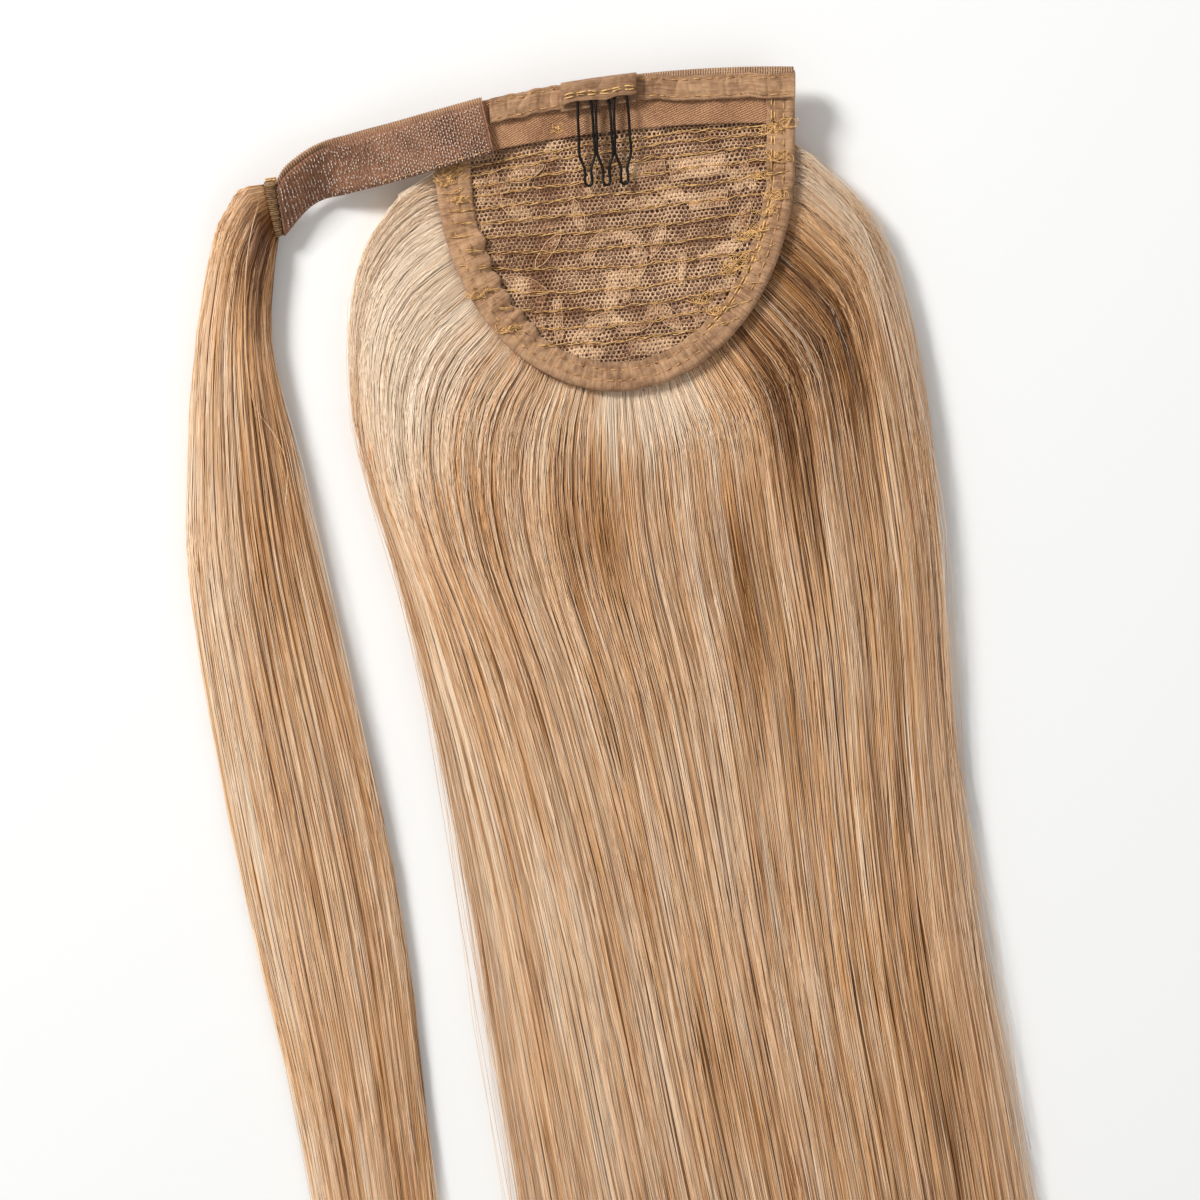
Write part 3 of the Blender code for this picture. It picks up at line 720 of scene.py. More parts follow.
@dataclass(frozen=True)
class TwillFinish:
    """Woven elastic with slanting twill lines or with ribs."""

    name: str
    light: Colour
    deep: Colour
    pitch: float
    turn: float
    cross_pitch: float = 0.0006
    cross_share: float = 0.35
    relief: float = 0.00032
    contrast: float = 0.20

    def material(self) -> Material:
        """Builds the elastic's material."""
        sketch = Sketch(self.name)
        turns = 2 * math.pi
        slant = sketch.mapped(CLOTH_MAP, (turns, turns, 1), self.turn)
        wobble = sketch.noise(sketch.mapped(CLOTH_MAP), 900.0, 2.0)
        line = sketch.sum("DIVIDE", sketch.part(slant, 0), self.pitch)
        line = sketch.sum("SINE", sketch.total(line, sketch.times(wobble, 4.0)))
        cross = sketch.sum("DIVIDE", sketch.part(slant, 1), self.cross_pitch)
        cross = sketch.sum("SINE", sketch.total(cross, sketch.times(line, 1.2)))
        height = sketch.total(line, sketch.times(cross, self.cross_share))
        cloud = sketch.noise(sketch.mapped(None), 110.0, 3.0)
        fleck = sketch.noise(sketch.mapped(CLOTH_MAP), 1900.0, 1.0)
        tone = sketch.total(
            sketch.times(height, self.contrast),
            0.05,
            sketch.spread(fleck, 0.35, 0.65, -0.15, 0.25),
            sketch.spread(cloud, 0.35, 0.65, 0.26, 0.56),
        )
        sketch.bump(height, self.relief, 0.8)
        colour = sketch.shades(tone, self.deep, self.light)
        rough = sketch.spread(cloud, 0.3, 0.7, 0.62, 0.82)
        return sketch.finished(colour, rough, Specular_IOR_Level=0.3, Sheen_Weight=0.1)


@dataclass(frozen=True)
class NetFinish:
    """The lace's yarn: matt, softly twisted, a little uneven in colour, with painted shade in the
    grooves below the seams and in the fold.
    """

    name: str = "lace_yarn"
    light: Colour = (1.00, 0.660, 0.395)
    deep: Colour = (0.26, 0.100, 0.036)

    def material(self) -> Material:
        """Builds the yarn's material."""
        sketch = Sketch(self.name)
        cloud = sketch.noise(sketch.mapped(None), 90.0, 3.0, 0.3)
        twist = sketch.noise(sketch.mapped(None, (1, 1, 0.4)), 2600.0, 2.0)
        ribs = sketch.sum("SINE", sketch.part(sketch.mapped(None, (13000, 1, 1)), 0))
        state = sketch.mapped(FLOW_MAP)
        # Painted shade: the yarn darkens in the grooves below the seams and in the fold.
        groove = sketch.times(sketch.part(state, 0), -0.55)
        worked = sketch.times(sketch.part(state, 1), 0.10)
        tone = sketch.total(
            sketch.spread(cloud, 0.34, 0.66, 0.36, 0.76),
            sketch.total(groove, worked),
            sketch.spread(twist, 0.3, 0.7, -0.35, 0.35),
            sketch.times(ribs, 0.07),
        )
        sketch.bump(sketch.total(twist, sketch.times(ribs, 0.35)), 0.00025)
        colour = sketch.shades(tone, self.deep, self.light)
        return sketch.finished(
            colour, 0.74, Specular_IOR_Level=0.25, Sheen_Weight=0.15, Sheen_Roughness=0.5
        )


@dataclass(frozen=True)
class ThreadFinish:
    """Sewing thread with its twist showing."""

    name: str
    light: Colour
    deep: Colour
    gloss: float = 0.42
    knots: Colour | None = None

    def material(self) -> Material:
        """Builds the thread's material, with knots of another colour at the map's far end."""
        sketch = Sketch(self.name)
        fleck = sketch.noise(sketch.mapped(None), 700.0, 2.0)
        tone = sketch.total(sketch.spread(fleck, 0.35, 0.65), sketch.streaks(FLOW_MAP, (60, 3, 1)))
        sketch.bump(fleck, 0.00008)
        colour = sketch.shades(tone, self.deep, self.light, 0.25)
        if self.knots:
            far = sketch.sum("GREATER_THAN", sketch.part(sketch.mapped(FLOW_MAP), 0), 0.968)
            colour = sketch.blend(far, colour, self.knots)
        return sketch.finished(colour, self.gloss, Specular_IOR_Level=0.45)


@dataclass(frozen=True)
class HookFinish:
    """Clear pale nylon, for the hooks."""

    name: str
    light: Colour
    deep: Colour
    gloss: float

    def material(self) -> Material:
        """Builds the nylon's material."""
        sketch = Sketch(self.name)
        grain = sketch.noise(sketch.mapped(None), 1500.0, 3.0)
        cloud = sketch.noise(sketch.mapped(None), 120.0, 2.0)
        tone = sketch.total(sketch.spread(grain, 0.3, 0.7, 0, 0.7), cloud)
        colour = sketch.shades(tone, self.deep, self.light, 0.3)
        return sketch.finished(colour, self.gloss, Specular_IOR_Level=0.5)


@dataclass(frozen=True)
class WireFinish:
    """Black satin coating on wire, with light scuffs."""

    name: str = "black_satin_coating"

    def material(self) -> Material:
        """Builds the coating's material."""
        sketch = Sketch(self.name)
        scuff = sketch.noise(sketch.mapped(None, (1, 0.25, 1)), 900.0, 4.0)
        grain = sketch.noise(sketch.mapped(None), 4000.0, 2.0)
        colour = sketch.ramp(scuff, ((0.5, (0.005, 0.004, 0.003)), (0.8, (0.024, 0.018, 0.013))))
        sketch.bump(grain, 0.00003)
        rough = sketch.spread(scuff, 0.35, 0.7, 0.30, 0.46)
        return sketch.finished(colour, rough, Specular_IOR_Level=0.22)


@dataclass(frozen=True)
class TableFinish:
    """A plain pale table."""

    name: str = "pale_table"
    colour: Colour = (0.90, 0.90, 0.89)

    def material(self) -> Material:
        """Builds the table's material."""
        sketch = Sketch(self.name)
        cloud = sketch.noise(sketch.mapped(None), 3.0, 2.0)
        near = tuple(0.985 * part for part in self.colour)
        colour = sketch.blend(cloud, near, self.colour)
        return sketch.finished(colour, 0.85, Specular_IOR_Level=0.1)


# The cap


@dataclass(frozen=True)
class CapShape:
    """The cap's outline and the height of its net, as they were drawn."""

    width: float = 0.108
    depth: float = 0.0696
    left_side: float = 0.0140
    right_side: float = 0.0279
    arch: float = 0.0040
    height_at_rim: float = 0.0165
    height_at_top: float = 0.0105
    dish: float = 0.0015
    crease_depth: float = 0.0012
    crease_offset: float = 0.020
    crease_width: float = 0.009
    crease_fade: float = 0.016
    hair_below_net: float = 0.0021

    @property
    def half(self) -> float:
        """Half the width."""
        return self.width / 2

    def top_edge(self, x: Values) -> Values:
        """The Y of the cap's top edge at x."""
        share = (x + self.half) / self.width
        return mix(self.left_side, self.right_side, share) + self.arch * (1 - (x / self.half) ** 2)

    def height(self, x: Values, y: Values) -> Values:
        """The height of the middle of the net's wall above the table."""
        share = (y + self.depth) / (self.depth + self.right_side)
        level = mix(self.height_at_rim, self.height_at_top, share)
        towards_rim = np.minimum((x / self.half) ** 2 + (y / self.depth) ** 2, 1.0)
        crease = bell(x, -self.crease_offset, self.crease_width)
        crease = crease * smooth_step(-y / self.crease_fade)
        return level - (self.dish + self.crease_depth * crease) * (1 - towards_rim)

    def under(self, x: Values, y: Values) -> Values:
        """The top of the hair where the cap lies on it."""
        return self.height(x, y) - self.hair_below_net

    def rim(self, share: Array) -> Array:
        """Points round the rim from the top left corner to the top right, each with its way in.

        Args:
            share: How far round each point is, from 0 to 1.

        Returns:
            For each point its X, its Y, and the X and Y of the way inwards.
        """
        angle = np.linspace(0, math.pi, 241)
        curve = np.stack([-self.half * np.cos(angle), -self.depth * np.sin(angle)], axis=-1)
        left = [(-self.half, self.top_edge(-self.half) - 0.001)]
        right = [(self.half, self.top_edge(self.half) - 0.001)]
        curve = np.concatenate([left, curve, right])
        lengths = np.concatenate([[0], np.cumsum(np.linalg.norm(np.diff(curve, axis=0), axis=1))])
        wanted = np.asarray(share) * lengths[-1]
        point = np.stack([np.interp(wanted, lengths, curve[:, axis]) for axis in (0, 1)], -1)
        step = 0.0005
        ahead = np.stack([np.interp(wanted + step, lengths, curve[:, axis]) for axis in (0, 1)], -1)
        behind = np.stack([np.interp(wanted - step, lengths, curve[:, axis]) for axis in (0, 1)], -1)
        along = ahead - behind
        along /= np.linalg.norm(along, axis=-1, keepdims=True)
        return np.concatenate([point, -along[:, 1:], along[:, :1]], axis=-1)

    def inset(self, x: Array, y: Array) -> Array:
        """About how far inside the outline a place is, with the top edge left out."""
        straight = self.half - np.abs(x)
        ratio = np.sqrt((x / self.half) ** 2 + (np.minimum(y, 0) / self.depth) ** 2)
        slope = np.sqrt((x / self.half ** 2) ** 2 + (np.minimum(y, 0) / self.depth ** 2) ** 2)
        curved = (1 - ratio) * ratio / np.maximum(slope, 1e-6)
        return np.where(y > 0, straight, curved)


CAP = CapShape()


class Motif(Enum):
    """The shapes that the lace's pattern is drawn with."""

    ROSETTE = "rosette"
    LEAF = "leaf"
    SCROLL = "scroll"
    BAR = "bar"


@dataclass(frozen=True)
class LaceShape:
    """One closely worked shape of the lace: its place and sizes in millimetres."""

    motif: Motif
    x: float
    y: float
    size: float
    turn: float = 0.0
    narrow: float = 0.4

    def petal(self, angle: Array) -> Array:
        """How far a rosette reaches at each angle."""
        return self.size * (0.78 + 0.22 * np.cos(5 * angle))

    def cover(self, x: Array, y: Array) -> Array:
        """How closely the shape is worked at places in metres, from 0 to 1."""
        turn = math.radians(self.turn)
        across, up = x * 1000 - self.x, y * 1000 - self.y
        along = across * math.cos(turn) + up * math.sin(turn)
        over = up * math.cos(turn) - across * math.sin(turn)
        distance = np.hypot(along, over)
        if self.motif is Motif.ROSETTE:
            inside = self.petal(np.arctan2(over, along)) - distance
            inside = inside * (distance > 0.16 * self.size)
        elif self.motif is Motif.LEAF:
            thick = self.narrow * self.size * (1 - np.clip(along / self.size, -1, 1) ** 2)
            inside = thick - np.abs(over)
        elif self.motif is Motif.SCROLL:
            angle = np.arctan2(over, along)
            inside = self.narrow * self.size - np.abs(distance - self.size)
            inside = np.where(np.abs(angle) < 2.2, inside, -1.0)
        else:
            inside = np.minimum(self.size - np.abs(along), self.narrow * self.size - np.abs(over))
        return smooth_step(0.5 + inside / 1.2)

    def outline(self) -> Array:
        """Points round the shape's edge, in metres."""
        angle = np.linspace(0, 2 * math.pi, 42)
        if self.motif is Motif.ROSETTE:
            reach = self.petal(angle)
            along, over = reach * np.cos(angle), reach * np.sin(angle)
        elif self.motif is Motif.LEAF:
            along = self.size * np.cos(angle)
            over = self.narrow * self.size * np.sin(angle) * np.abs(np.sin(angle))
        elif self.motif is Motif.SCROLL:
            sweep = np.linspace(-2.2, 2.2, 42)
            reach = self.size * (1 + self.narrow)
            along, over = reach * np.cos(sweep), reach * np.sin(sweep)
        else:
            along = self.size * np.clip(1.5 * np.cos(angle), -1, 1)
            over = self.narrow * self.size * np.clip(1.5 * np.sin(angle), -1, 1)
        turn = math.radians(self.turn)
        x = self.x + along * math.cos(turn) - over * math.sin(turn)
        y = self.y + along * math.sin(turn) + over * math.cos(turn)
        return np.stack([x, y], axis=-1) / 1000


@dataclass(frozen=True)
class SeamRow:
    """A row of gold stitches: where it is at the left, in the middle and at the right, in pixels."""

    left: float
    middle: float
    right: float

    def down(self, across: Array) -> Array:
        """Where the row is in the photo's pixels, at places across it."""
        share = (across - 455.0) / 310.0
        bow = self.middle - mix(self.left, self.right, 0.468)
        return mix(self.left, self.right, share) + bow * 4 * share * (1 - share)


def seam_distance(across: Array, down: Array) -> Array:
    """How far places in the photo's pixels are from the nearest row of gold stitches."""
    nearest = np.full(across.shape, np.inf)
    for row in SEAM_ROWS:
        nearest = np.minimum(nearest, np.abs(down - row.down(across)))
    return nearest


SEAM_ROWS = (
    SeamRow(172, 143, 126),
    SeamRow(181, 152, 135),
    SeamRow(192, 166, 146),
    SeamRow(200, 180, 160),
    SeamRow(212, 196, 176),
    SeamRow(225, 213, 193),
    SeamRow(238, 231, 210),
    SeamRow(252, 249, 230),
    SeamRow(267, 268, 248),
    SeamRow(287, 291, 262),
    SeamRow(306, 309, 281),
    SeamRow(324, 327, 297),
    SeamRow(341, 343, 313),
)


@dataclass
class LaceNet:
    """The lace net with its closely worked pattern, and the rows of weft below it."""

    pitch: float = 0.00135
    yarn: float = 0.0002
    hole: float = 0.60
    lean: float = 0.10
    pucker: float = 0.00070
    edge: float = 0.0022
    weft_drop: float = 0.00135
    weft_wall: float = 0.0006
    cord_radius: float = 0.00013
    thread_level: float = 0.00018

    shapes: tuple[LaceShape, ...] = (
        LaceShape(Motif.ROSETTE, -37, -9, 5.6, 10),
        LaceShape(Motif.BAR, -42, 2, 5.2, 12, 0.45),
        LaceShape(Motif.LEAF, -27, -4, 6.0, 24, 0.40),
        LaceShape(Motif.LEAF, -30, -15, 6.5, -32, 0.34),
        LaceShape(Motif.BAR, -19.5, 3, 2.6, 78, 0.55),
        LaceShape(Motif.SCROLL, -38, -25, 5.2, 200, 0.26),
        LaceShape(Motif.LEAF, -20, -27, 7.0, 55, 0.24),
        LaceShape(Motif.LEAF, -27, -38, 7.5, -15, 0.36),
        LaceShape(Motif.BAR, -22, -47, 6.0, 92, 0.20),
        LaceShape(Motif.BAR, -17, -48, 6.0, 92, 0.20),
        LaceShape(Motif.ROSETTE, -27, -52, 5.2, 40),
        LaceShape(Motif.LEAF, -7, -6, 4.8, 82, 0.26),
        LaceShape(Motif.LEAF, -11, -17, 5.5, 105, 0.30),
        LaceShape(Motif.SCROLL, 0, -30, 7.6, 60, 0.24),
        LaceShape(Motif.SCROLL, 5, -44, 6.4, 240, 0.26),
        LaceShape(Motif.ROSETTE, 2, -37, 5.6, 0),
        LaceShape(Motif.LEAF, -6, -50, 7.5, 35, 0.34),
        LaceShape(Motif.ROSETTE, -8, -59, 5.8, 18),
        LaceShape(Motif.BAR, 11, -56, 6.5, 6, 0.34),
        LaceShape(Motif.LEAF, 16, -47, 6.5, -50, 0.36),
        LaceShape(Motif.BAR, 8, -3, 7.0, 8, 0.30),
        LaceShape(Motif.LEAF, 9, -13, 6.2, 4, 0.34),
        LaceShape(Motif.BAR, 25, -2, 8.5, 9, 0.36),
        LaceShape(Motif.LEAF, 17, -10, 6.0, 158, 0.34),
        LaceShape(Motif.BAR, 28, -12, 5.8, 8, 0.42),
        LaceShape(Motif.ROSETTE, 39, -5, 5.0, 22),
        LaceShape(Motif.LEAF, 38, -19, 6.4, 66, 0.36),
        LaceShape(Motif.BAR, 20, -33, 5.0, 88, 0.22),
        LaceShape(Motif.SCROLL, 30, -34, 5.6, 20, 0.26),
        LaceShape(Motif.LEAF, 33, -27, 5.5, 22, 0.36),
        LaceShape(Motif.ROSETTE, 26, -46, 5.4, 30),
        LaceShape(Motif.LEAF, 13, -24, 5.8, 70, 0.30),
    )

    def cover(self, x: Array, y: Array) -> Array:
        """How closely the lace is worked at each place, from 0 for open net to 1."""
        worked = np.zeros(x.shape)
        for shape in self.shapes:
            worked = np.maximum(worked, shape.cover(x, y))
        return worked

    def groove(self, x: Array, y: Array) -> Array:
        """How much painted shade a place gets in the groove below a seam or in the fold, with random
        darker clouds, from 0 to 1.
        """
        across, down = x / PIXEL + PHOTO_X, PHOTO_Y - y / PIXEL
        deep = np.zeros(x.shape)
        for number, row in enumerate(SEAM_ROWS):
            away = (down - row.down(across) - 2.5) / (2.6 + drift(x, y, 0.02, 80 + number))
            strong = 0.65 + 0.35 * drift(x, y, 0.025, 95 + number)
            deep = np.maximum(deep, strong * np.exp(-(away ** 2)))
        fold = bell(x, -0.0225, 0.0045) * smooth_step(-(y - 0.002) / 0.008)
        fold = fold * smooth_step((y + 0.052) / 0.010)
        cloud = 0.4 * smooth_step(drift(x, y, 0.018, 99))
        return np.clip(deep + 0.75 * fold + cloud, 0.0, 1.0)

    def level(self, x: Array, y: Array) -> Array:
        """The height of the middle of the net, which is puckered between the gold seams."""
        across, down = x / PIXEL + PHOTO_X, PHOTO_Y - y / PIXEL
        free = smooth_step(seam_distance(across, down) / 7)
        free = free * smooth_step((CAP.inset(x, y) - 0.008) / 0.004)
        below = smooth_step((CAP.top_edge(x) - 0.017 - y) / 0.003)
        ripple = 0.6 + 0.4 * drift(x, y, 0.011, 5)
        fold = bell(x, -0.021, 0.004) * smooth_step(-(y - 0.002) / 0.012)
        rise = self.pucker * free * ripple * below
        crease = 0.00045 * creases(x, y, 0.016, 6, 0.15) * below * free
        return CAP.height(x, y) - 0.0002 + rise + crease - 0.0006 * fold * free

    def build(self) -> Piece:
        """Makes the net: rings of yarn round six-sided holes, which are small where it is worked."""
        radius = self.pitch / math.sqrt(3)
        step = self.pitch * math.sqrt(3) / 2
        rows, columns = np.meshgrid(np.arange(-75, 40), np.arange(-50, 51), indexing="ij")
        x = (columns + 0.5 * (rows % 2)) * self.pitch
        y = rows * step
        middle = np.stack([x.ravel(), y.ravel()], axis=-1)
        turn = np.array(((1, self.lean), (-self.lean, 1)))
        laid = middle @ turn
        inside = CAP.inset(laid[:, 0], laid[:, 1]) > self.edge
        inside &= laid[:, 1] < CAP.top_edge(laid[:, 0]) - self.edge
        middle, laid = middle[inside], laid[inside]
        angle = math.pi / 3 * np.arange(6) + math.pi / 6
        corner = np.stack([np.cos(angle), np.sin(angle)], axis=-1) * radius
        outer = middle[:, None] + corner
        keys = np.round(outer.reshape(-1, 2) / (0.2 * radius)).astype(int)
        _, first, index = np.unique(keys, axis=0, return_index=True, return_inverse=True)
        index = index.reshape(-1, 6)
        outer = outer.reshape(-1, 2)[first]
        worked = self.cover(laid[:, 0], laid[:, 1])
        chance = np.random.default_rng(11)
        open_hole = self.hole * (1 + 0.22 * drift(laid[:, 0], laid[:, 1], 0.006, 3))
        open_hole *= 1 + 0.10 * chance.standard_normal(len(worked))
        pin = np.where(chance.random(len(worked)) < 0.45, 0.30, 0.10)
        hole = mix(open_hole, pin, smooth_step((worked - 0.35) / 0.4))[:, None, None]
        inner = (middle[:, None] + corner * hole).reshape(-1, 2)

        def lay(flat: Array) -> Array:
            """Places of flat points in the stretched, uneven net."""
            place = flat @ turn
            x, y = place[:, 0], place[:, 1]
            pull = 0.00028 * np.stack([drift(x, y, 0.009, 1), drift(x, y, 0.009, 2)], axis=-1)
            return place + pull

        outer, inner = lay(outer), lay(inner)
        raised = 0.00026 * self.cover(outer[:, 0], outer[:, 1])
        level = self.level(outer[:, 0], outer[:, 1])
        jitter = 0.00005 * chance.standard_normal(len(outer))
        top = np.column_stack([outer, level + self.yarn + raised + jitter])
        bottom = np.column_stack([outer, level - self.yarn])
        inner_raised = 0.00030 * np.repeat(worked, 6)
        ring = np.column_stack([inner, self.level(inner[:, 0], inner[:, 1]) + inner_raised])
        points = np.concatenate([top, bottom, ring])
        count = len(outer)
        inner_index = 2 * count + np.arange(len(inner)).reshape(-1, 6)
        after, inner_after = np.roll(index, -1, 1), np.roll(inner_index, -1, 1)
        upper = np.stack([index, after, inner_after, inner_index], -1).reshape(-1, 4)
        lower = np.stack([index, inner_index, inner_after, after], -1).reshape(-1, 4)
        lower[:, (0, 3)] += count
        sides = np.stack([index, after], -1).reshape(-1, 2)
        code = sides.min(1) * count + sides.max(1)
        values, times = np.unique(code, return_counts=True)
        open_edges = sides[np.isin(code, values[times == 1])]
        wall = np.column_stack([open_edges[:, ::-1], open_edges + count])
        quads = np.concatenate([upper, lower, wall])
        flat = points[quads.ravel(), :2]
        low, high = flat.min(0), flat.max(0)
        bake = 0.02 + 0.96 * (flat - low) / (high - low)
        # The flow map carries the grooves' painted shade and how closely the lace is worked.
        state = np.stack([self.groove(flat[:, 0], flat[:, 1]), self.cover(*flat.T)], axis=-1)
        maps = {BAKE_MAP: bake, FLOW_MAP: state}
        net = Bench.mesh("lace_net", points, quads, np.zeros((0, 3), int), maps)
        Bench.hand_over(net, NetFinish().material(), "net", ["net_cap"])
        return net

    def build_cords(self) -> Piece:
        """Makes the heavier cords that outline the pattern's shapes."""
        cords = Tubes()
        outlines = []
        for shape in self.shapes:
            line = shape.outline()
            kept = CAP.inset(line[:, 0], line[:, 1]) > 0.0092
            kept &= line[:, 1] < CAP.top_edge(line[:, 0]) - 0.0175
            if kept.all():
                x, y = line[:, 0], line[:, 1]
                x = x + 0.00025 * drift(x, y, 0.004, 8)
                z = self.level(x, y) + self.yarn + self.thread_level
                outlines.append(np.column_stack([x, y, z]))
        cords.add(np.stack(outlines, axis=1), self.cord_radius, 4, tone_width=0.01)
        piece = cords.build("lace_cords")
        light, deep = (0.70, 0.46, 0.26), (0.46, 0.27, 0.14)
        finish = ThreadFinish("lace_cord_yarn", light, deep, 0.7).material()
        return Bench.hand_over(piece, finish, "net", ["net_cap"])

    def build_weft(self) -> Piece:
        """Makes the rows of weft that show through the net as hair in low ridges, coloured dark brown
        as painted shade under the net.
        """

        def place(across: Array, down: Array) -> Array:
            """The weft's middle at shares across and down."""
            y = mix(CAP.top_edge(0.0) - 0.010, -CAP.depth + 0.0045, down)
            half = CAP.half - 0.0045
            reach = np.sqrt(np.maximum(1 - (np.minimum(y, 0) / (CAP.depth - 0.003)) ** 2, 0.0))
            x = half * (2 * across - 1) * np.maximum(reach, 0.02)
            y = y + self.lean * x * (1 - down)
            nearest = seam_distance(x / PIXEL + PHOTO_X, PHOTO_Y - y / PIXEL)
            ridge = 0.0003 * smooth_step(nearest / 8) + 0.00012 * drift(x * 8, y, 0.004, 9)
            return np.stack([x, y, CAP.height(x, y) - self.weft_drop + ridge], axis=-1)

        weft = Bench.grid("weft_rows", 72, 60, place, self.weft_wall)
        Bench.add_map(weft, 1.0, 1.0, FLOW_MAP)
        # Painted shade: the weft hair is far darker than the hair itself, for the shade under the
        # net.
        finish = HairFinish(
            "weft_hair_painted_shade",
            dark=(0.070, 0.028, 0.014),
            brown=(0.155, 0.068, 0.034),
            honey=(0.27, 0.130, 0.068),
            pale=(0.42, 0.235, 0.130),
            strands_across=260,
            locks_across=30,
            bump=0.0003,
        )
        return Bench.hand_over(weft, finish.material(), "net", ["net_cap"])


@dataclass
class RimBinding:
    """The tape folded round the curved rim, gathered low on the left."""

    width: float = 0.0086
    extra_left: float = 0.0024
    even_from: float = 0.4
    wall: float = 0.0006
    reach: float = 0.0018
    flap_drop: float = 0.0006
    gathers: int = 6
    gather_from: float = 0.16
    gather_to: float = 0.34
    gather_rise: float = 0.0014
    stations: int = 270
    around: int = 26
    seams: tuple[float, float] = (0.0032, 0.0064)

    def flap(self, share: Array) -> Array:
        """How wide the folded tape is at shares of the way round."""
        return self.width + self.extra_left * (1 - smooth_step(share / self.even_from))

    def puff(self, share: Array) -> Array:
        """How far the gathers stand up, from 0 to 1."""
        turn = self.gathers * (share - self.gather_from) / (self.gather_to - self.gather_from)
        within = (share > self.gather_from) & (share < self.gather_to)
        return np.abs(np.sin(math.pi * turn)) ** 1.1 * within

    def rise(self, share: Array, inset: Array) -> Array:
        """How far the upper flap stands above its flat place, with gathers, creases and seams."""
        length = RIM_LENGTH * share
        inner = smooth_step((inset - 0.002) / 0.003)
        gathered = self.gather_rise * self.puff(share) * inner
        crease = 0.00030 * drift(length, inset * 0.35, 0.006, 21) * inner
        crease = crease + 0.00065 * creases(length, inset * 0.5, 0.012, 22) * inner
        late = bell(share, 0.44, 0.09)
        pleat = 0.00090 * late * -bell(np.sin(length * math.pi / 0.0058), 0.0, 0.28) * inner
        seam = bell(inset, self.seams[0], 0.0005) + bell(inset, self.seams[1], 0.0005)
        stitch = 0.6 + 0.4 * np.cos(length * 2 * math.pi / 0.0027)
        return gathered + crease + pleat - 0.00070 * seam * stitch

    def fall(self, share: Array, inset: Array) -> Array:
        """How far the flap's inner part sinks to the net, which it doesn't over the elastic."""
        flap = self.flap(share)
        sink = self.flap_drop * smooth_step((inset - 0.5 * flap) / (0.5 * flap))
        return sink * (1 - smooth_step((share - 0.86) / 0.05))

    def top(self, share: Array, inset: Array) -> Array:
        """A point on the upper face of the tape.

        Args:
            share: How far round the rim.
            inset: How far in from the outline.

        Returns:
            The points' X, Y and Z.
        """
        rim = CAP.rim(share)
        x, y = rim[:, 0] + rim[:, 2] * inset, rim[:, 1] + rim[:, 3] * inset
        z = CAP.height(x, y) + self.reach - self.fall(share, inset) + self.rise(share, inset)
        return np.stack([x, y, z], axis=-1)

    def build(self) -> Piece:
        """Makes the folded tape."""
        half = self.wall / 2

        def place(across: Array, down: Array) -> Array:
            """The wall's middle: from the lower inner edge, round the fold, to the upper one."""
            share = down
            flap = self.flap(share) + 0.0011 * self.puff(share)
            flap = flap + 0.00025 * drift(RIM_LENGTH * share, 0 * share, 0.007, 23)
            bend = self.reach - half
            arc = math.pi * bend
            length = 2 * (flap - self.reach) + arc
            place_on = across * length
            first = flap - self.reach
            angle = np.clip((place_on - first) / bend, 0, math.pi)
            inset = self.reach - bend * np.sin(angle)
            inset = np.where(place_on < first, flap - place_on, inset)
            inset = np.where(place_on > first + arc, self.reach + place_on - first - arc, inset)
            lift = -bend * np.cos(angle)
            rim = CAP.rim(share)
            x, y = rim[:, 0] + rim[:, 2] * inset, rim[:, 1] + rim[:, 3] * inset
            upper = smooth_step((lift / bend + 0.2) / 1.2)
            lift = lift + upper * (self.rise(share, inset) - self.fall(share, inset))
            return np.stack([x, y, CAP.height(x, y) + lift], axis=-1)

        tape = Bench.grid("rim_binding", self.around, self.stations, place, self.wall)
        Bench.add_map(tape, 2 * self.width + 0.002, RIM_LENGTH)
        return Bench.hand_over(tape, TapeFinish("rim_tape_cotton").material(), "tape", ["rim_tape"])


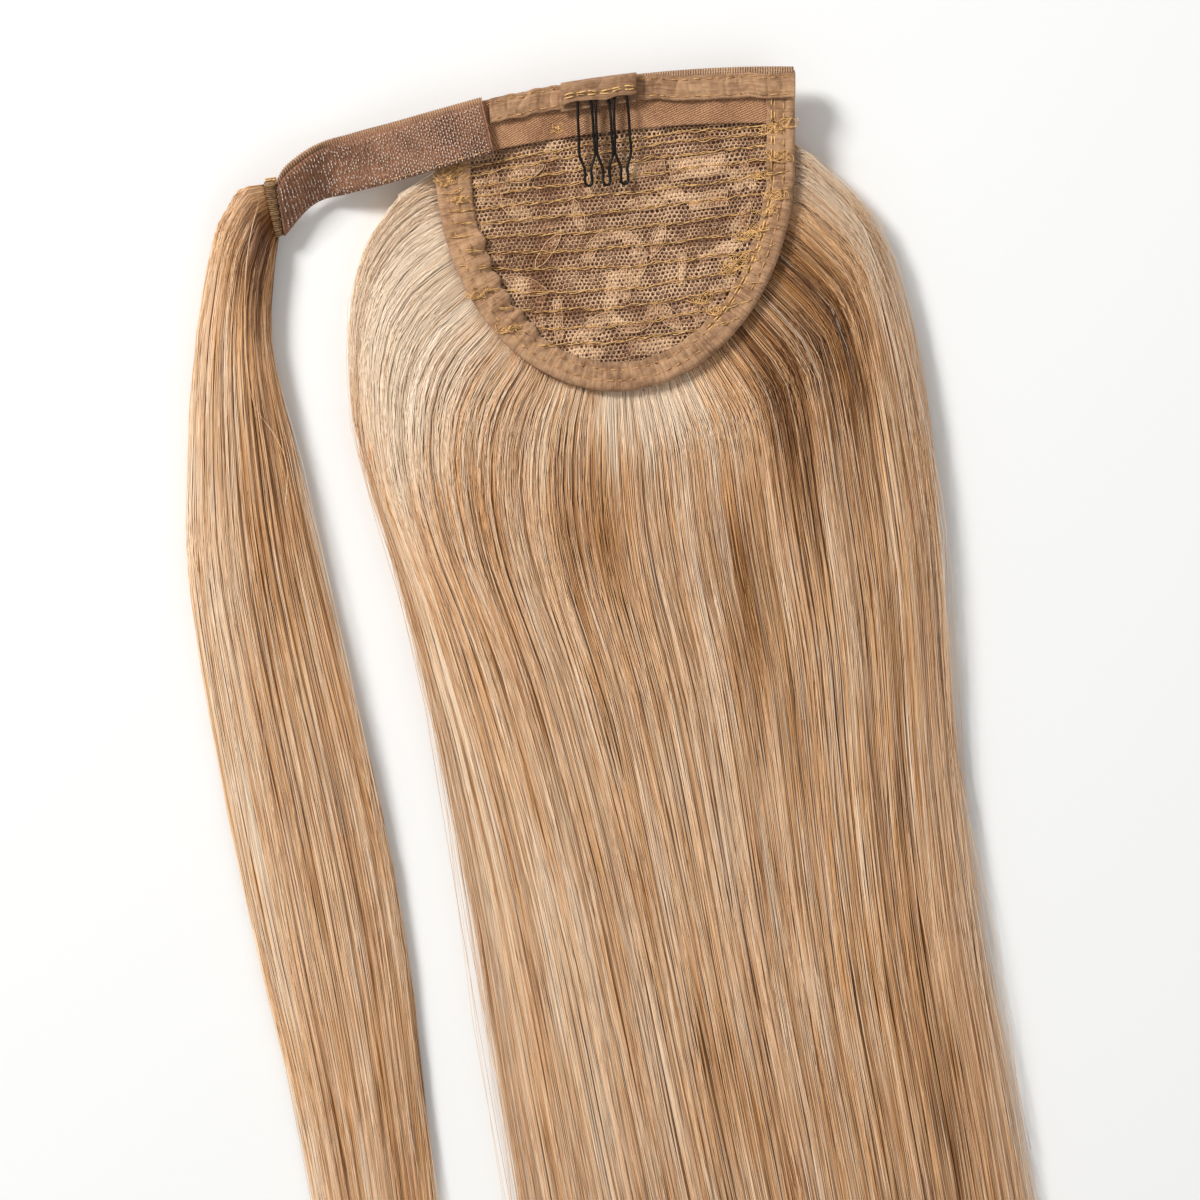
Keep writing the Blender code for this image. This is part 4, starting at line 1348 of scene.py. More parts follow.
@dataclass
class TopEdge:
    """The woven elastic, the stitched tape and the comb's sleeve along the cap's top edge."""

    elastic_width: float = 0.0170
    elastic_left: float = 0.0156
    tape_width: float = 0.0074
    selvedge: float = 0.0020
    wall: float = 0.0008
    elastic_level: float = 0.0013
    tape_level: float = 0.0026
    root_x: float = -0.038124
    sleeve_width: float = 0.0226
    sleeve_offset: float = 0.0049
    sleeve_length: float = 0.0084
    sleeve_opening: float = 0.0022
    sleeve_low: float = 0.0034
    sleeve_high: float = 0.0068
    seams: tuple[float, float] = (0.16, 0.86)

    def shown(self, x: Array) -> Array:
        """How much of the elastic's selvedge shows above the tape."""
        return self.selvedge * smooth_step(x / (CAP.width / 4))

    def elastic_place(self, across: Array, down: Array) -> Array:
        """The middle of the elastic's wall."""
        right = CAP.half - 0.0086
        x = mix(-right + 0.0020, right + 0.0016, across)
        y = CAP.top_edge(x) - down * mix(self.elastic_left, self.elastic_width, across)
        wave = 0.00022 * drift(x, y, 0.012, 31) + 0.00035 * creases(x, 2 * y, 0.02, 32, 0.1)
        fold = bell(x, -0.018, 0.0028) * smooth_step((down - 0.55) / 0.3)
        tuck = smooth_step((x - 0.036) / 0.007)
        z = CAP.height(x, y) + self.elastic_level + (1 - tuck) * wave - 0.0015 * fold
        z = z - 0.00042 * tuck
        return np.stack([x, y, z], axis=-1)

    def tape_place(self, across: Array, down: Array) -> Array:
        """The middle of the top tape's wall, puckered across between its two seams."""
        x = mix(self.root_x + 0.0006, CAP.half, across)
        y = CAP.top_edge(x) - self.shown(x) - self.tape_width * down
        between = np.sin(math.pi * down)
        turn = x * math.pi / 0.0046 + 1.5 * drift(x, y, 0.02, 33)
        pucker = -0.00042 * bell(np.sin(turn), 0.0, 0.30) * (0.35 + 0.65 * between)
        seam = bell(down, self.seams[0], 0.07) + bell(down, self.seams[1], 0.07)
        edge = 0.00012 * drift(x, y, 0.006, 34) - 0.00022 * seam
        z = CAP.height(x, y) + self.tape_level + 0.0001 + pucker + edge
        return np.stack([x, y + 0.00025 * drift(x, 0 * x, 0.01, 35), z], axis=-1)

    def selvedge_place(self, across: Array, down: Array) -> Array:
        """The middle of the elastic's ribbed selvedge, which shows above the tape at the right."""
        x = mix(0.001, CAP.half - 0.0004, across)
        y = CAP.top_edge(x) - 0.0034 * down
        z = CAP.height(x, y) + 0.00198 + 0.00005 * drift(x, y, 0.01, 38)
        return np.stack([x, y, z], axis=-1)

    def sleeve_place(self, across: Array, down: Array) -> Array:
        """The middle of the sleeve's wall, from its back edge over the fold to its front one."""
        x = self.sleeve_width * (across - 0.5) - self.sleeve_offset
        low, high = self.sleeve_low + self.wall / 2, self.sleeve_high - self.wall / 2
        bend = (high - low) / 2
        back = self.sleeve_length - bend
        over = self.sleeve_length - self.sleeve_opening - bend
        over = over + 0.0005 * drift(x, 0 * x, 0.008, 36)
        length = back + over + math.pi * bend
        place_on = down * length
        angle = np.clip((place_on - back) / bend, 0, math.pi)
        below = bend - bend * np.sin(angle)
        below = np.where(place_on < back, self.sleeve_length - place_on, below)
        onward = place_on - back - math.pi * bend + bend
        below = np.where(place_on > back + math.pi * bend, onward, below)
        lift = (low + high) / 2 - bend * np.cos(angle)
        front = smooth_step((lift - low) / (high - low))
        seam = bell(below, 0.0047, 0.0007) * front
        lip = smooth_step((below - 0.0035) / 0.003) * front
        side = bell(np.abs(2 * across - 1), 1, 0.08)
        lift = lift - 0.0006 * seam - 0.0007 * lip * (1 - 0.5 * seam) - 0.0005 * side * front
        y = CAP.top_edge(x) - below
        wrinkle = 0.00018 * drift(x, y, 0.007, 37) + 0.00030 * creases(x, y, 0.012, 39)
        z = CAP.height(x, y) + lift + wrinkle
        return np.stack([x, y, z], axis=-1)

    def build(self) -> list[Piece]:
        """Makes the elastic, the tape and the sleeve."""
        elastic = Bench.grid("band_elastic", 150, 26, self.elastic_place, 0.6 * self.wall)
        Bench.add_map(elastic, 0.088, 0.017)
        light, deep = (0.78, 0.425, 0.222), (0.34, 0.140, 0.060)
        twill = TwillFinish(
            "twill_elastic", light, deep, 0.00066, math.radians(66), 0.00080, 0.7, 0.00030, 0.17
        )
        Bench.hand_over(elastic, twill.material(), "elastic", ["top_elastic"])
        selvedge = Bench.grid("elastic_selvedge", 240, 4, self.selvedge_place, 0.00022)
        Bench.add_map(selvedge, 0.053, 0.0034)
        light, deep = (0.66, 0.42, 0.255), (0.34, 0.185, 0.10)
        ribs = TwillFinish("selvedge_ribs", light, deep, 0.00075, 0.0, 0.0009, 0.2)
        Bench.hand_over(selvedge, ribs.material(), "elastic", ["top_elastic"])
        tape = Bench.grid("edge_tape", 220, 14, self.tape_place, self.wall)
        Bench.add_map(tape, 0.092, self.tape_width)
        Bench.hand_over(tape, TapeFinish("edge_tape_cotton").material(), "tape", ["top_tape"])
        sleeve = Bench.grid("comb_pocket", 60, 60, self.sleeve_place, self.wall * 0.8)
        Bench.add_map(sleeve, self.sleeve_width, 0.020)
        finish = TapeFinish("pocket_tape_cotton", light=(0.56, 0.320, 0.172))
        Bench.hand_over(sleeve, finish.material(), "tape", ["comb_sleeve"])
        return [elastic, tape, sleeve, selvedge]


@dataclass
class Comb:
    """The coated wire comb, bent from one wire."""

    teeth: int = 3
    pitch: float = 0.0054
    wire: float = 0.0008
    leg_gap: float = 0.00095
    top_gap: float = 0.0019
    length: float = 0.0280
    tip_radius: float = 0.0010
    narrow: float = 0.0042
    shoulder: float = 0.0035
    spread: float = 0.0080
    tip_lift: float = 0.0022
    turn: float = math.radians(3)
    offset: float = 0.0039
    below_edge: float = 0.0041
    sleeve_floor: float = 0.0034 + 0.001 + 0.0003

    def tooth(self, centre: float) -> list[tuple[float, float]]:
        """The places across and down of one tooth, down one leg and up the other."""
        top, leg = (self.pitch - self.top_gap) / 2, (self.pitch - self.leg_gap) / 2
        tip_start = self.length - self.tip_radius
        narrow_start = tip_start - self.narrow
        shoulder_start = narrow_start - self.shoulder
        side = [
            (top, 0.0),
            (mix(top, leg, 0.6), self.spread / 2),
            (leg, self.spread),
            (leg, mix(self.spread, shoulder_start, 0.5)),
            (leg, shoulder_start),
            (mix(leg, self.tip_radius, 0.5), mix(shoulder_start, narrow_start, 0.5)),
            (self.tip_radius, narrow_start),
            (self.tip_radius, tip_start),
        ]
        bend = []
        for step in range(1, 6):
            angle = math.pi * step / 6
            down = tip_start + self.tip_radius * math.sin(angle)
            bend.append((-self.tip_radius * math.cos(angle), down))
        left = [(-across, down) for across, down in side]
        return [(centre + across, down) for across, down in left + bend + side[::-1]]

    def route(self) -> Array:
        """The wire's middle from end to end."""
        route = []
        for tooth in range(self.teeth):
            centre = (tooth - (self.teeth - 1) / 2) * self.pitch
            if tooth:
                between, reach = centre - self.pitch / 2, self.top_gap / 2
                for step in range(1, 4):
                    angle = math.pi * step / 4
                    route.append((between - reach * math.cos(angle), -reach * math.sin(angle)))
            route.extend(self.tooth(centre))
        across, down = np.array(route).T
        top_y = CAP.top_edge(-self.offset) - self.below_edge
        x = -self.offset + across * math.cos(self.turn) + down * math.sin(self.turn)
        y = top_y + across * math.sin(self.turn) - down * math.cos(self.turn)
        top = self.sleeve_floor + self.wire / 2
        lift = mix(top, 0.0005 + self.tip_lift, smooth_step(down / self.length))
        return np.stack([x, y, CAP.height(x, y) + lift], axis=-1)

    def build(self) -> Piece:
        """Bends the wire and coats it."""
        route = self.route()[:, None]
        knots = chord_knots(route)
        at = np.interp(np.linspace(0, len(knots) - 1, 4 * len(knots)), np.arange(len(knots)), knots)
        wire = Tubes()
        wire.add(curve_through(route, knots, at[:, None]), 0.55 * self.wire, 10, tone_width=1.0)
        piece = wire.build("comb_wire")
        return Bench.hand_over(piece, WireFinish().material(), "wire", ["comb"])


# The strap


@dataclass(frozen=True)
class StrapStation:
    """One section of the strap, as drawn. A lift of 0 lies on the cap."""

    along: float
    down: float
    turn: float
    roll: float
    lift: float


@dataclass
class Strap:
    """The ribbed elastic strap and the hook tape sewn on it."""

    width: float = 0.0172
    reach: float = 0.0624
    wall: float = 0.0010
    hook_wall: float = 0.0007
    hook_margin: float = 0.0016
    rib: float = 0.00075
    hook_rows: float = 0.00095
    hook_step: float = 0.00105
    hook_height: float = 0.0006
    hook_base: float = 0.0006 + 0.0003
    root_share: float = 0.147
    rise_on_cap: float = 0.0005 + 0.001 + 0.0006 + 0.0006

    stations: tuple[StrapStation, ...] = (
        StrapStation(0.0, 0.0, 13, 0, 0),
        StrapStation(0.14, 0.04, 14, 0, 0),
        StrapStation(0.28, 0.08, 14, 0, 0),
        StrapStation(0.45, 0.125, 16, 4, 1.08),
        StrapStation(0.63, 0.168, 16, 4, 0.74),
        StrapStation(0.74, 0.195, 19, 17, 0.66),
        StrapStation(0.825, 0.222, 17, 34, 0.72),
        StrapStation(0.891, 0.262, 19, 40, 0.78),
        StrapStation(0.95, 0.32, 16, 36, 0.80),
        StrapStation(1.0, 0.392, 8, 26, 0.81),
    )

    def drawn(self, offset: float, level: float) -> Array:
        """The points of all stations at an offset towards the upper edge and a level above."""
        points = []
        root = CAP.width * (self.root_share - 0.5)
        start = CAP.top_edge(root) + 0.0008 - self.width / 2
        for station in self.stations:
            x = root - self.reach * station.along
            y = start - self.reach * station.down
            turn, roll = math.radians(station.turn), math.radians(station.roll)
            flat = np.array((-math.sin(turn), math.cos(turn), 0.0))
            if not station.lift:
                point = np.array((x, y, 0.0)) + flat * offset
                point[2] = CAP.height(point[0], point[1]) + self.rise_on_cap + level
            else:
                across = flat * math.cos(roll) + np.array((0, 0, math.sin(roll)))
                face = np.array((0, 0, math.cos(roll))) - flat * math.sin(roll)
                middle = np.array((x, y, CAP.height_at_top * station.lift))
                point = middle + across * offset + face * level
            points.append(point)
        return np.array(points)

    def place(self, along: Array, offset: Array, level: Values = 0.0) -> Array:
        """Points on the strap.

        Args:
            along: Shares of the strap's reach from the cap.
            offset: Distances towards the upper edge from the middle.
            level: Heights above the strap's middle.

        Returns:
            The points' X, Y and Z.
        """
        knots = np.array([station.along for station in self.stations])
        half = self.width / 2
        at = np.asarray(along)[None]

        def line(edge: float, height: float) -> Array:
            """The curve through the stations at one edge and height."""
            drawn = self.drawn(edge, height)[:, None]
            drawn = np.broadcast_to(drawn, (len(drawn), at.shape[1], 3))
            return curve_through(drawn, knots, at)[0]

        lower, middle, upper = line(-half, 0.0), line(0.0, 0.0), line(half, 0.0)
        raised = line(0.0, 0.001) - middle
        share = (np.asarray(offset) / half)[:, None]
        bend = (lower + upper) / 2 - middle
        point = middle + share * (upper - lower) / 2 + share ** 2 * bend
        return point + raised * (np.broadcast_to(level, at.shape[1:])[:, None] / 0.001)

    def hook_offset(self, down: Array) -> Array:
        """The offset on the hook tape at shares down from its upper edge."""
        return mix(self.width / 2 - self.hook_margin, -self.width / 2, down)

    def build(self) -> list[Piece]:
        """Makes the ribbed strap, the hook tape's ground and its hooks."""
        length = STRAP_LENGTH
        ribs = round(length / self.rib)

        def rib(across: Array, down: Array) -> Array:
            """How far the ribs stand out."""
            return 0.00013 * np.cos(across * ribs * 2 * math.pi) + 0 * down

        def strap_place(across: Array, down: Array) -> Array:
            """The strap's middle, with edges that follow its ribs."""
            edge = rib(across, down) * np.sign(0.5 - down) * (np.abs(2 * down - 1) > 0.99)
            return self.place(1 - across, mix(self.width / 2, -self.width / 2, down) + edge)

        def hook_place(across: Array, down: Array) -> Array:
            """The hook tape's middle."""
            level = self.hook_base + self.hook_wall / 2
            x = across * length
            wave = 0.00008 * drift(x, down * self.width, 0.008, 41)
            return self.place(1 - across, self.hook_offset(down), level + wave)

        strap = Bench.grid("strap_elastic", 6 * ribs, 12, strap_place, self.wall, rib)
        Bench.add_map(strap, length, self.width)
        light, deep = (0.53, 0.31, 0.175), (0.22, 0.105, 0.052)
        ribbed = TwillFinish("ribbed_elastic", light, deep, self.rib, 0.0, 0.0005, 0.25, 0.00012)
        Bench.hand_over(strap, ribbed.material(), "elastic", ["strap"])

        def hook_rib(across: Array, down: Array) -> Array:
            """How far the ground's ribs stand out."""
            return 0.00007 * np.cos(across * length * 2 * math.pi / self.hook_rows) + 0 * down

        ground = Bench.grid("hook_ground", 288, 6, hook_place, self.hook_wall, hook_rib)
        Bench.add_map(ground, length, self.width - self.hook_margin)
        finish = TwillFinish(
            "hook_tape_ground",
            (0.46, 0.225, 0.125),
            (0.10, 0.037, 0.018),
            self.hook_rows,
            0.0,
            self.hook_step / 2,
            0.5,
            0.00015,
        )
        Bench.hand_over(ground, finish.material(), "hook", ["hook_tape"])
        return [strap, ground, self.build_hooks()]

    def build_hooks(self) -> Piece:
        """Makes the field of small nylon hooks."""
        chance = np.random.default_rng(7)
        columns = np.arange(0.0012, STRAP_LENGTH - 0.0008, self.hook_rows)
        rows = np.arange(0.0009, self.width - self.hook_margin - 0.0006, self.hook_step)
        x, down = (part.ravel() for part in np.meshgrid(columns, rows, indexing="ij"))
        down = down + 0.5 * self.hook_step * (np.round(x / self.hook_rows) % 2)
        x = x + chance.normal(0, 0.00009, x.shape)
        down = down + chance.normal(0, 0.00014, x.shape)
        kept = chance.random(x.shape) < mix(0.62, 0.98, smooth_step((x / STRAP_LENGTH - 0.35) / 0.3))
        x, down = x[kept], np.clip(down[kept], 0.0005, self.width - self.hook_margin - 0.0005)
        base = self.hook_base + self.hook_wall
        lean = chance.normal(0, 0.25, x.shape)
        tall = self.hook_height * chance.uniform(0.75, 1.15, x.shape)
        shape = ((0.0, -0.15), (0.02, 0.5), (0.18, 0.9), (0.48, 1.0), (0.72, 0.78), (0.78, 0.5))
        points = []
        for out, up in shape:
            step = out * 0.00075
            along = 1 - (x + step * np.sin(lean)) / STRAP_LENGTH
            offset = self.width / 2 - self.hook_margin - down - step * np.cos(lean)
            points.append(self.place(along, offset, base + up * tall))
        hooks = Tubes()
        radius = np.array([0.00013, 0.00013, 0.00015, 0.00016, 0.00014, 0.00007])[:, None]
        hooks.add(np.array(points), np.broadcast_to(radius, (6, len(x))), 3)
        finish = HookFinish("hook_nylon", (1.0, 0.88, 0.76), (0.46, 0.28, 0.18), 0.22)
        return Bench.hand_over(hooks.build("nylon_hooks"), finish.material(), "hook", ["hook_tape"])


# Stitching


@dataclass
class Stitching:
    """The gold seams over the net, the running stitches on the tapes, and the knots."""

    binding: RimBinding
    net: LaceNet
    edge: TopEdge
    strap: Strap
    thread: float = 0.00017
    stitch: float = 0.0026
    gap: float = 0.0007
    tone_width: float = 0.02

    def surface(self, x: Array, y: Array) -> Array:
        """The height of what a gold thread lies on, net or tape."""
        inset = CAP.inset(x, y)
        share = np.arctan2(-y / CAP.depth, -x / CAP.half) / math.pi
        share = 0.08 + 0.84 * np.clip(share, 0, 1)
        flap = self.binding.flap(share)
        on_tape = smooth_step((flap + 0.0004 - inset) / 0.0008)
        lift = self.binding.rise(share, inset)
        tape = CAP.height(x, y) + self.binding.reach + lift - self.binding.fall(share, inset)
        net = self.net.level(x, y) + self.net.yarn + self.net.thread_level
        return mix(net, tape, on_tape)

    def seam_threads(self, gold: Tubes) -> None:
        """Adds the rows of gold stitches that fix the weft to the net."""
        chance = np.random.default_rng(17)
        for number, row in enumerate(SEAM_ROWS):
            for strand in range(2):
                across = np.arange(430, 800, 2.0)
                x, y = photo_place(across, row.down(across))
                y = y + 0.00030 * drift(x, 0 * x, 0.018, 50 + number)
                start, end = chance.uniform(0.0005, 0.006, 2)
                inset = CAP.inset(x, y)
                kept = inset > np.where(x < 0, start, end)
                kept &= y < CAP.top_edge(x) - 0.0168
                if kept.sum() < 20:
                    continue
                x, y = x[kept], y[kept]
                phase = x * 2 * math.pi / 0.0052 + chance.uniform(0, FULL_TURN)
                side = 1 if strand else -1
                y = y + side * (0.00014 + 0.00020 * np.sin(phase + 0.8 * drift(x, y, 0.01, 70)))
                y = y + 0.00022 * drift(x, 0 * x, 0.007, 90 + 2 * number + strand)
                dip = smooth_step((np.cos(phase / 2 + strand * 1.3) - 0.80) / 0.1)
                z = self.surface(x, y) + self.thread * (1.0 + 0.8 * strand) - 0.0005 * dip
                path = np.stack([x, y, z], axis=-1)[:, None]
                radius = self.thread * chance.uniform(0.85, 1.15)
                gold.add(path, radius, 3, chance.random(1), self.tone_width)

    def running(self, gold: Tubes, line: Callable[[Array], Array], length: float, seed: int) -> None:
        """Adds a row of running stitches.

        Args:
            gold: Where the stitches are gathered.
            line: Gives the points at shares of the row's length.
            length: The row's length.
            seed: Varies the stitches.
        """
        chance = np.random.default_rng(seed)
        count = int(length / (self.stitch + self.gap))
        start = (np.arange(count) + 0.15 + chance.uniform(-0.06, 0.06, count)) / count
        share = self.stitch / (self.stitch + self.gap) / count * chance.uniform(0.85, 1.08, count)
        arch = np.array((-1.2, 0.3, 1.2, 1.5, 1.2, 0.3, -1.2)) * self.thread
        points = []
        for part, lift in zip(np.linspace(0, 1, len(arch)), arch):
            point = line(np.clip(start + share * part, 0, 1))
            point[:, 2] += lift
            points.append(point)
        thick = 1.3 * self.thread * chance.uniform(0.85, 1.15, count)
        radius = np.broadcast_to(thick, (len(arch), count))
        gold.add(np.array(points), radius, 4, chance.random(count) * 0.97, self.tone_width)

    def tangle(self, gold: Tubes, x: float, y: float, reach: float, seed: int) -> None:
        """Adds a knot of loose loops of thread.

        Args:
            gold: Where the threads are gathered.
            x: The knot's middle along X.
            y: The knot's middle along Y.
            reach: How far its loops reach.
            seed: Varies the loops.
        """
        chance = np.random.default_rng(seed)
        turn = np.linspace(0, 1, 36)
        for _ in range(3):
            wide = reach * chance.uniform(0.5, 1.0)
            tall = reach * chance.uniform(0.25, 0.5)
            angle, spin = chance.uniform(0, FULL_TURN), chance.uniform(1.1, 2.2)
            slant = chance.uniform(-0.2, 0.5)
            along = wide * np.sin(spin * 2 * math.pi * turn + angle) + reach * (turn - 0.5) * 0.8
            over = tall * np.sin(spin * 3.1 * math.pi * turn + 2 * angle)
            px = x + along * math.cos(slant) - over * math.sin(slant)
            py = y + along * math.sin(slant) + over * math.cos(slant)
            pz = self.surface(px, py) + self.thread * (1.2 + 1.6 * np.sin(9 * turn + angle) ** 2)
            path = np.stack([px, py, pz], axis=-1)[:, None]
            gold.add(path, self.thread * 0.75, 3, chance.random(1), self.tone_width)

    def build(self) -> list[Piece]:
        """Makes the gold seams and the stitches on the tapes."""
        gold = Tubes()
        self.seam_threads(gold)
        knots = (
            (782, 124, 0.0042), (770, 129, 0.0036), (778, 157, 0.0040), (775, 196, 0.0034),
            (757, 228, 0.0042), (748, 236, 0.0036), (740, 262, 0.0048), (733, 270, 0.0040),
            (700, 300, 0.0034), (716, 312, 0.0030), (452, 172, 0.0042), (446, 182, 0.0034),
            (462, 200, 0.0028), (476, 296, 0.0030), (508, 330, 0.0030), (560, 128, 0.0034),
            (760, 176, 0.0026), (768, 212, 0.0028),
        )
        for number, (across, down, reach) in enumerate(knots):
            x, y = photo_place(across, down)
            self.tangle(gold, x, y, reach, 200 + number)
        for number, inset in enumerate((0.0062, 0.0071)):
            def side_line(share: Array, inset: float = inset) -> Array:
                """The seam down the right side of the rim."""
                return self.binding.top(mix(0.985, 0.62, share), 0 * share + inset)
            self.running(gold, side_line, 0.075, 300 + number)

        for number, down in enumerate((0.84, 0.89)):
            def pocket_line(share: Array, down: float = down, number: int = number) -> Array:
                """A seam across the comb's pocket."""
                point = self.edge.sleeve_place(mix(0.02, 0.98, share), 0 * share + down)
                wave = 0.00018 * np.sin(share * 23 + 2 * number)[:, None] * (0, 1, 0)
                return point + wave + np.array((0, 0, self.edge.wall / 2))
            self.running(gold, pocket_line, 0.021, 341 + number)
        piece = gold.build("gold_seams")
        light, deep = (0.88, 0.545, 0.215), (0.26, 0.115, 0.030)
        finish = ThreadFinish("gold_thread", light, deep, 0.40).material()
        Bench.hand_over(piece, finish, "tape", ["rim_tape"])
        return [piece, self.build_tape_stitches()]

    def build_tape_stitches(self) -> Piece:
        """Makes the tan running stitches on the rim tape, the top tape and the sleeve."""
        tan = Tubes()
        outer, inner = self.binding.seams
        rows = ((0.02, 0.60, outer), (0.04, 0.64, inner), (0.70, 0.98, 0.0034))
        for number, (low, high, inset) in enumerate(rows):
            def rim_line(
                share: Array, low: float = low, high: float = high, inset: float = inset
            ) -> Array:
                """A seam round the rim."""
                return self.binding.top(mix(low, high, share), 0 * share + inset)
            self.running(tan, rim_line, RIM_LENGTH * (high - low), 320 + number)
        for number, down in enumerate(self.edge.seams):
            def tape_line(share: Array, down: float = down) -> Array:
                """A seam along the top tape."""
                point = self.edge.tape_place(mix(0.01, 0.985, share), 0 * share + down)
                return point + np.array((0, 0, self.edge.wall / 2))
            self.running(tan, tape_line, 0.090, 330 + number)

        def hook_line(share: Array) -> Array:
            """The seam along the hook tape's lower edge, towards the cap."""
            offset = 0.0009 - self.strap.width / 2
            return self.strap.place(mix(0.0, 0.55, share), 0 * share + offset, 0.0017)

        self.running(tan, hook_line, 0.036, 340)
        piece = tan.build("tape_stitches")
        light, deep = (0.62, 0.345, 0.140), (0.11, 0.040, 0.013)
        finish = ThreadFinish("tan_thread", light, deep, 0.5).material()
        return Bench.hand_over(piece, finish, "tape", ["rim_tape"])


# The hair


@dataclass(frozen=True)
class HairRow:
    """One section across the main hair, as drawn."""

    drop: float
    centre: float
    half: float
    step: float
    sag: float
    height: float
    even: float
    free: float


def with_halfway(rows: Sequence[object]) -> list[object]:
    """The rows, with one more halfway along the smooth curve over each of the first spans.

    Args:
        rows: Sections that are frozen dataclasses of numbers.

    Returns:
        All the sections.
    """
    kind = type(rows[0])
    names = list(kind.__dataclass_fields__)
    values = [np.array([getattr(row, name) for name in names], float) for row in rows]
    smooth = []
    for index, (start, end) in enumerate(zip(values, values[1:])):
        smooth.append(kind(*start))
        if index < SMOOTHED_SPANS:
            before, after = values[max(index - 1, 0)], values[min(index + 2, len(values) - 1)]
            smooth.append(kind(*((9 * (start + end) - before - after) / 16)))
    return smooth + [rows[-1]]


@dataclass
class Lie:
    """How single hairs lie in a head of hair: how they gather, wander and sink."""

    gathers: int
    gather_pull: float
    wander: float
    sink: float
    seed: int

    def shares(self, share: Array, along: Array) -> Array:
        """Where across the hair each hair is at each row.

        Args:
            share: Where each hair starts across.
            along: How far down each row is, from 0 to 1.

        Returns:
            Shares, first by row, then by hair.
        """
        chance = np.random.default_rng(self.seed)
        total = np.repeat(share[None], len(along), axis=0)
        for level, (many, pull) in enumerate(
            ((self.gathers, self.gather_pull), (self.gathers * 4, 0.25))
        ):
            shift = chance.random()
            which = np.floor(share * many + shift).astype(int) % (many + 1)
            centre = (np.arange(many + 1) + 0.5 - shift + chance.uniform(-0.3, 0.3, many + 1)) / many
            phase = chance.uniform(0, FULL_TURN, many + 1)
            rate = chance.uniform(0.7, 1.9, many + 1)
            sway = self.wander / (level + 1) * chance.uniform(0.3, 1.0, many + 1)
            wave = np.sin(2 * math.pi * along[:, None] * rate[which] + phase[which])
            grow = smooth_step(along / 0.25)[:, None]
            total = total + (centre[which] - total) * pull * (0.25 + 0.75 * grow)
            total = total + wave * sway[which] * grow
        own = chance.normal(0, self.wander * 0.55, share.shape)
        phase = chance.uniform(0, FULL_TURN, share.shape)
        rate = chance.uniform(0.5, 2.2, share.shape)
        return total + own * np.sin(2 * math.pi * along[:, None] * rate + phase)

    def depths(self, deep: Array, along: Array) -> Array:
        """How deep each hair lies at each row, as it dives and comes up again."""
        chance = np.random.default_rng(self.seed + 1)
        phase = chance.uniform(0, FULL_TURN, deep.shape)
        rate = chance.uniform(0.4, 1.8, deep.shape)
        wave = np.sin(2 * math.pi * along[:, None] * rate + phase)
        return np.clip(deep + self.sink * wave, 0.0, None)


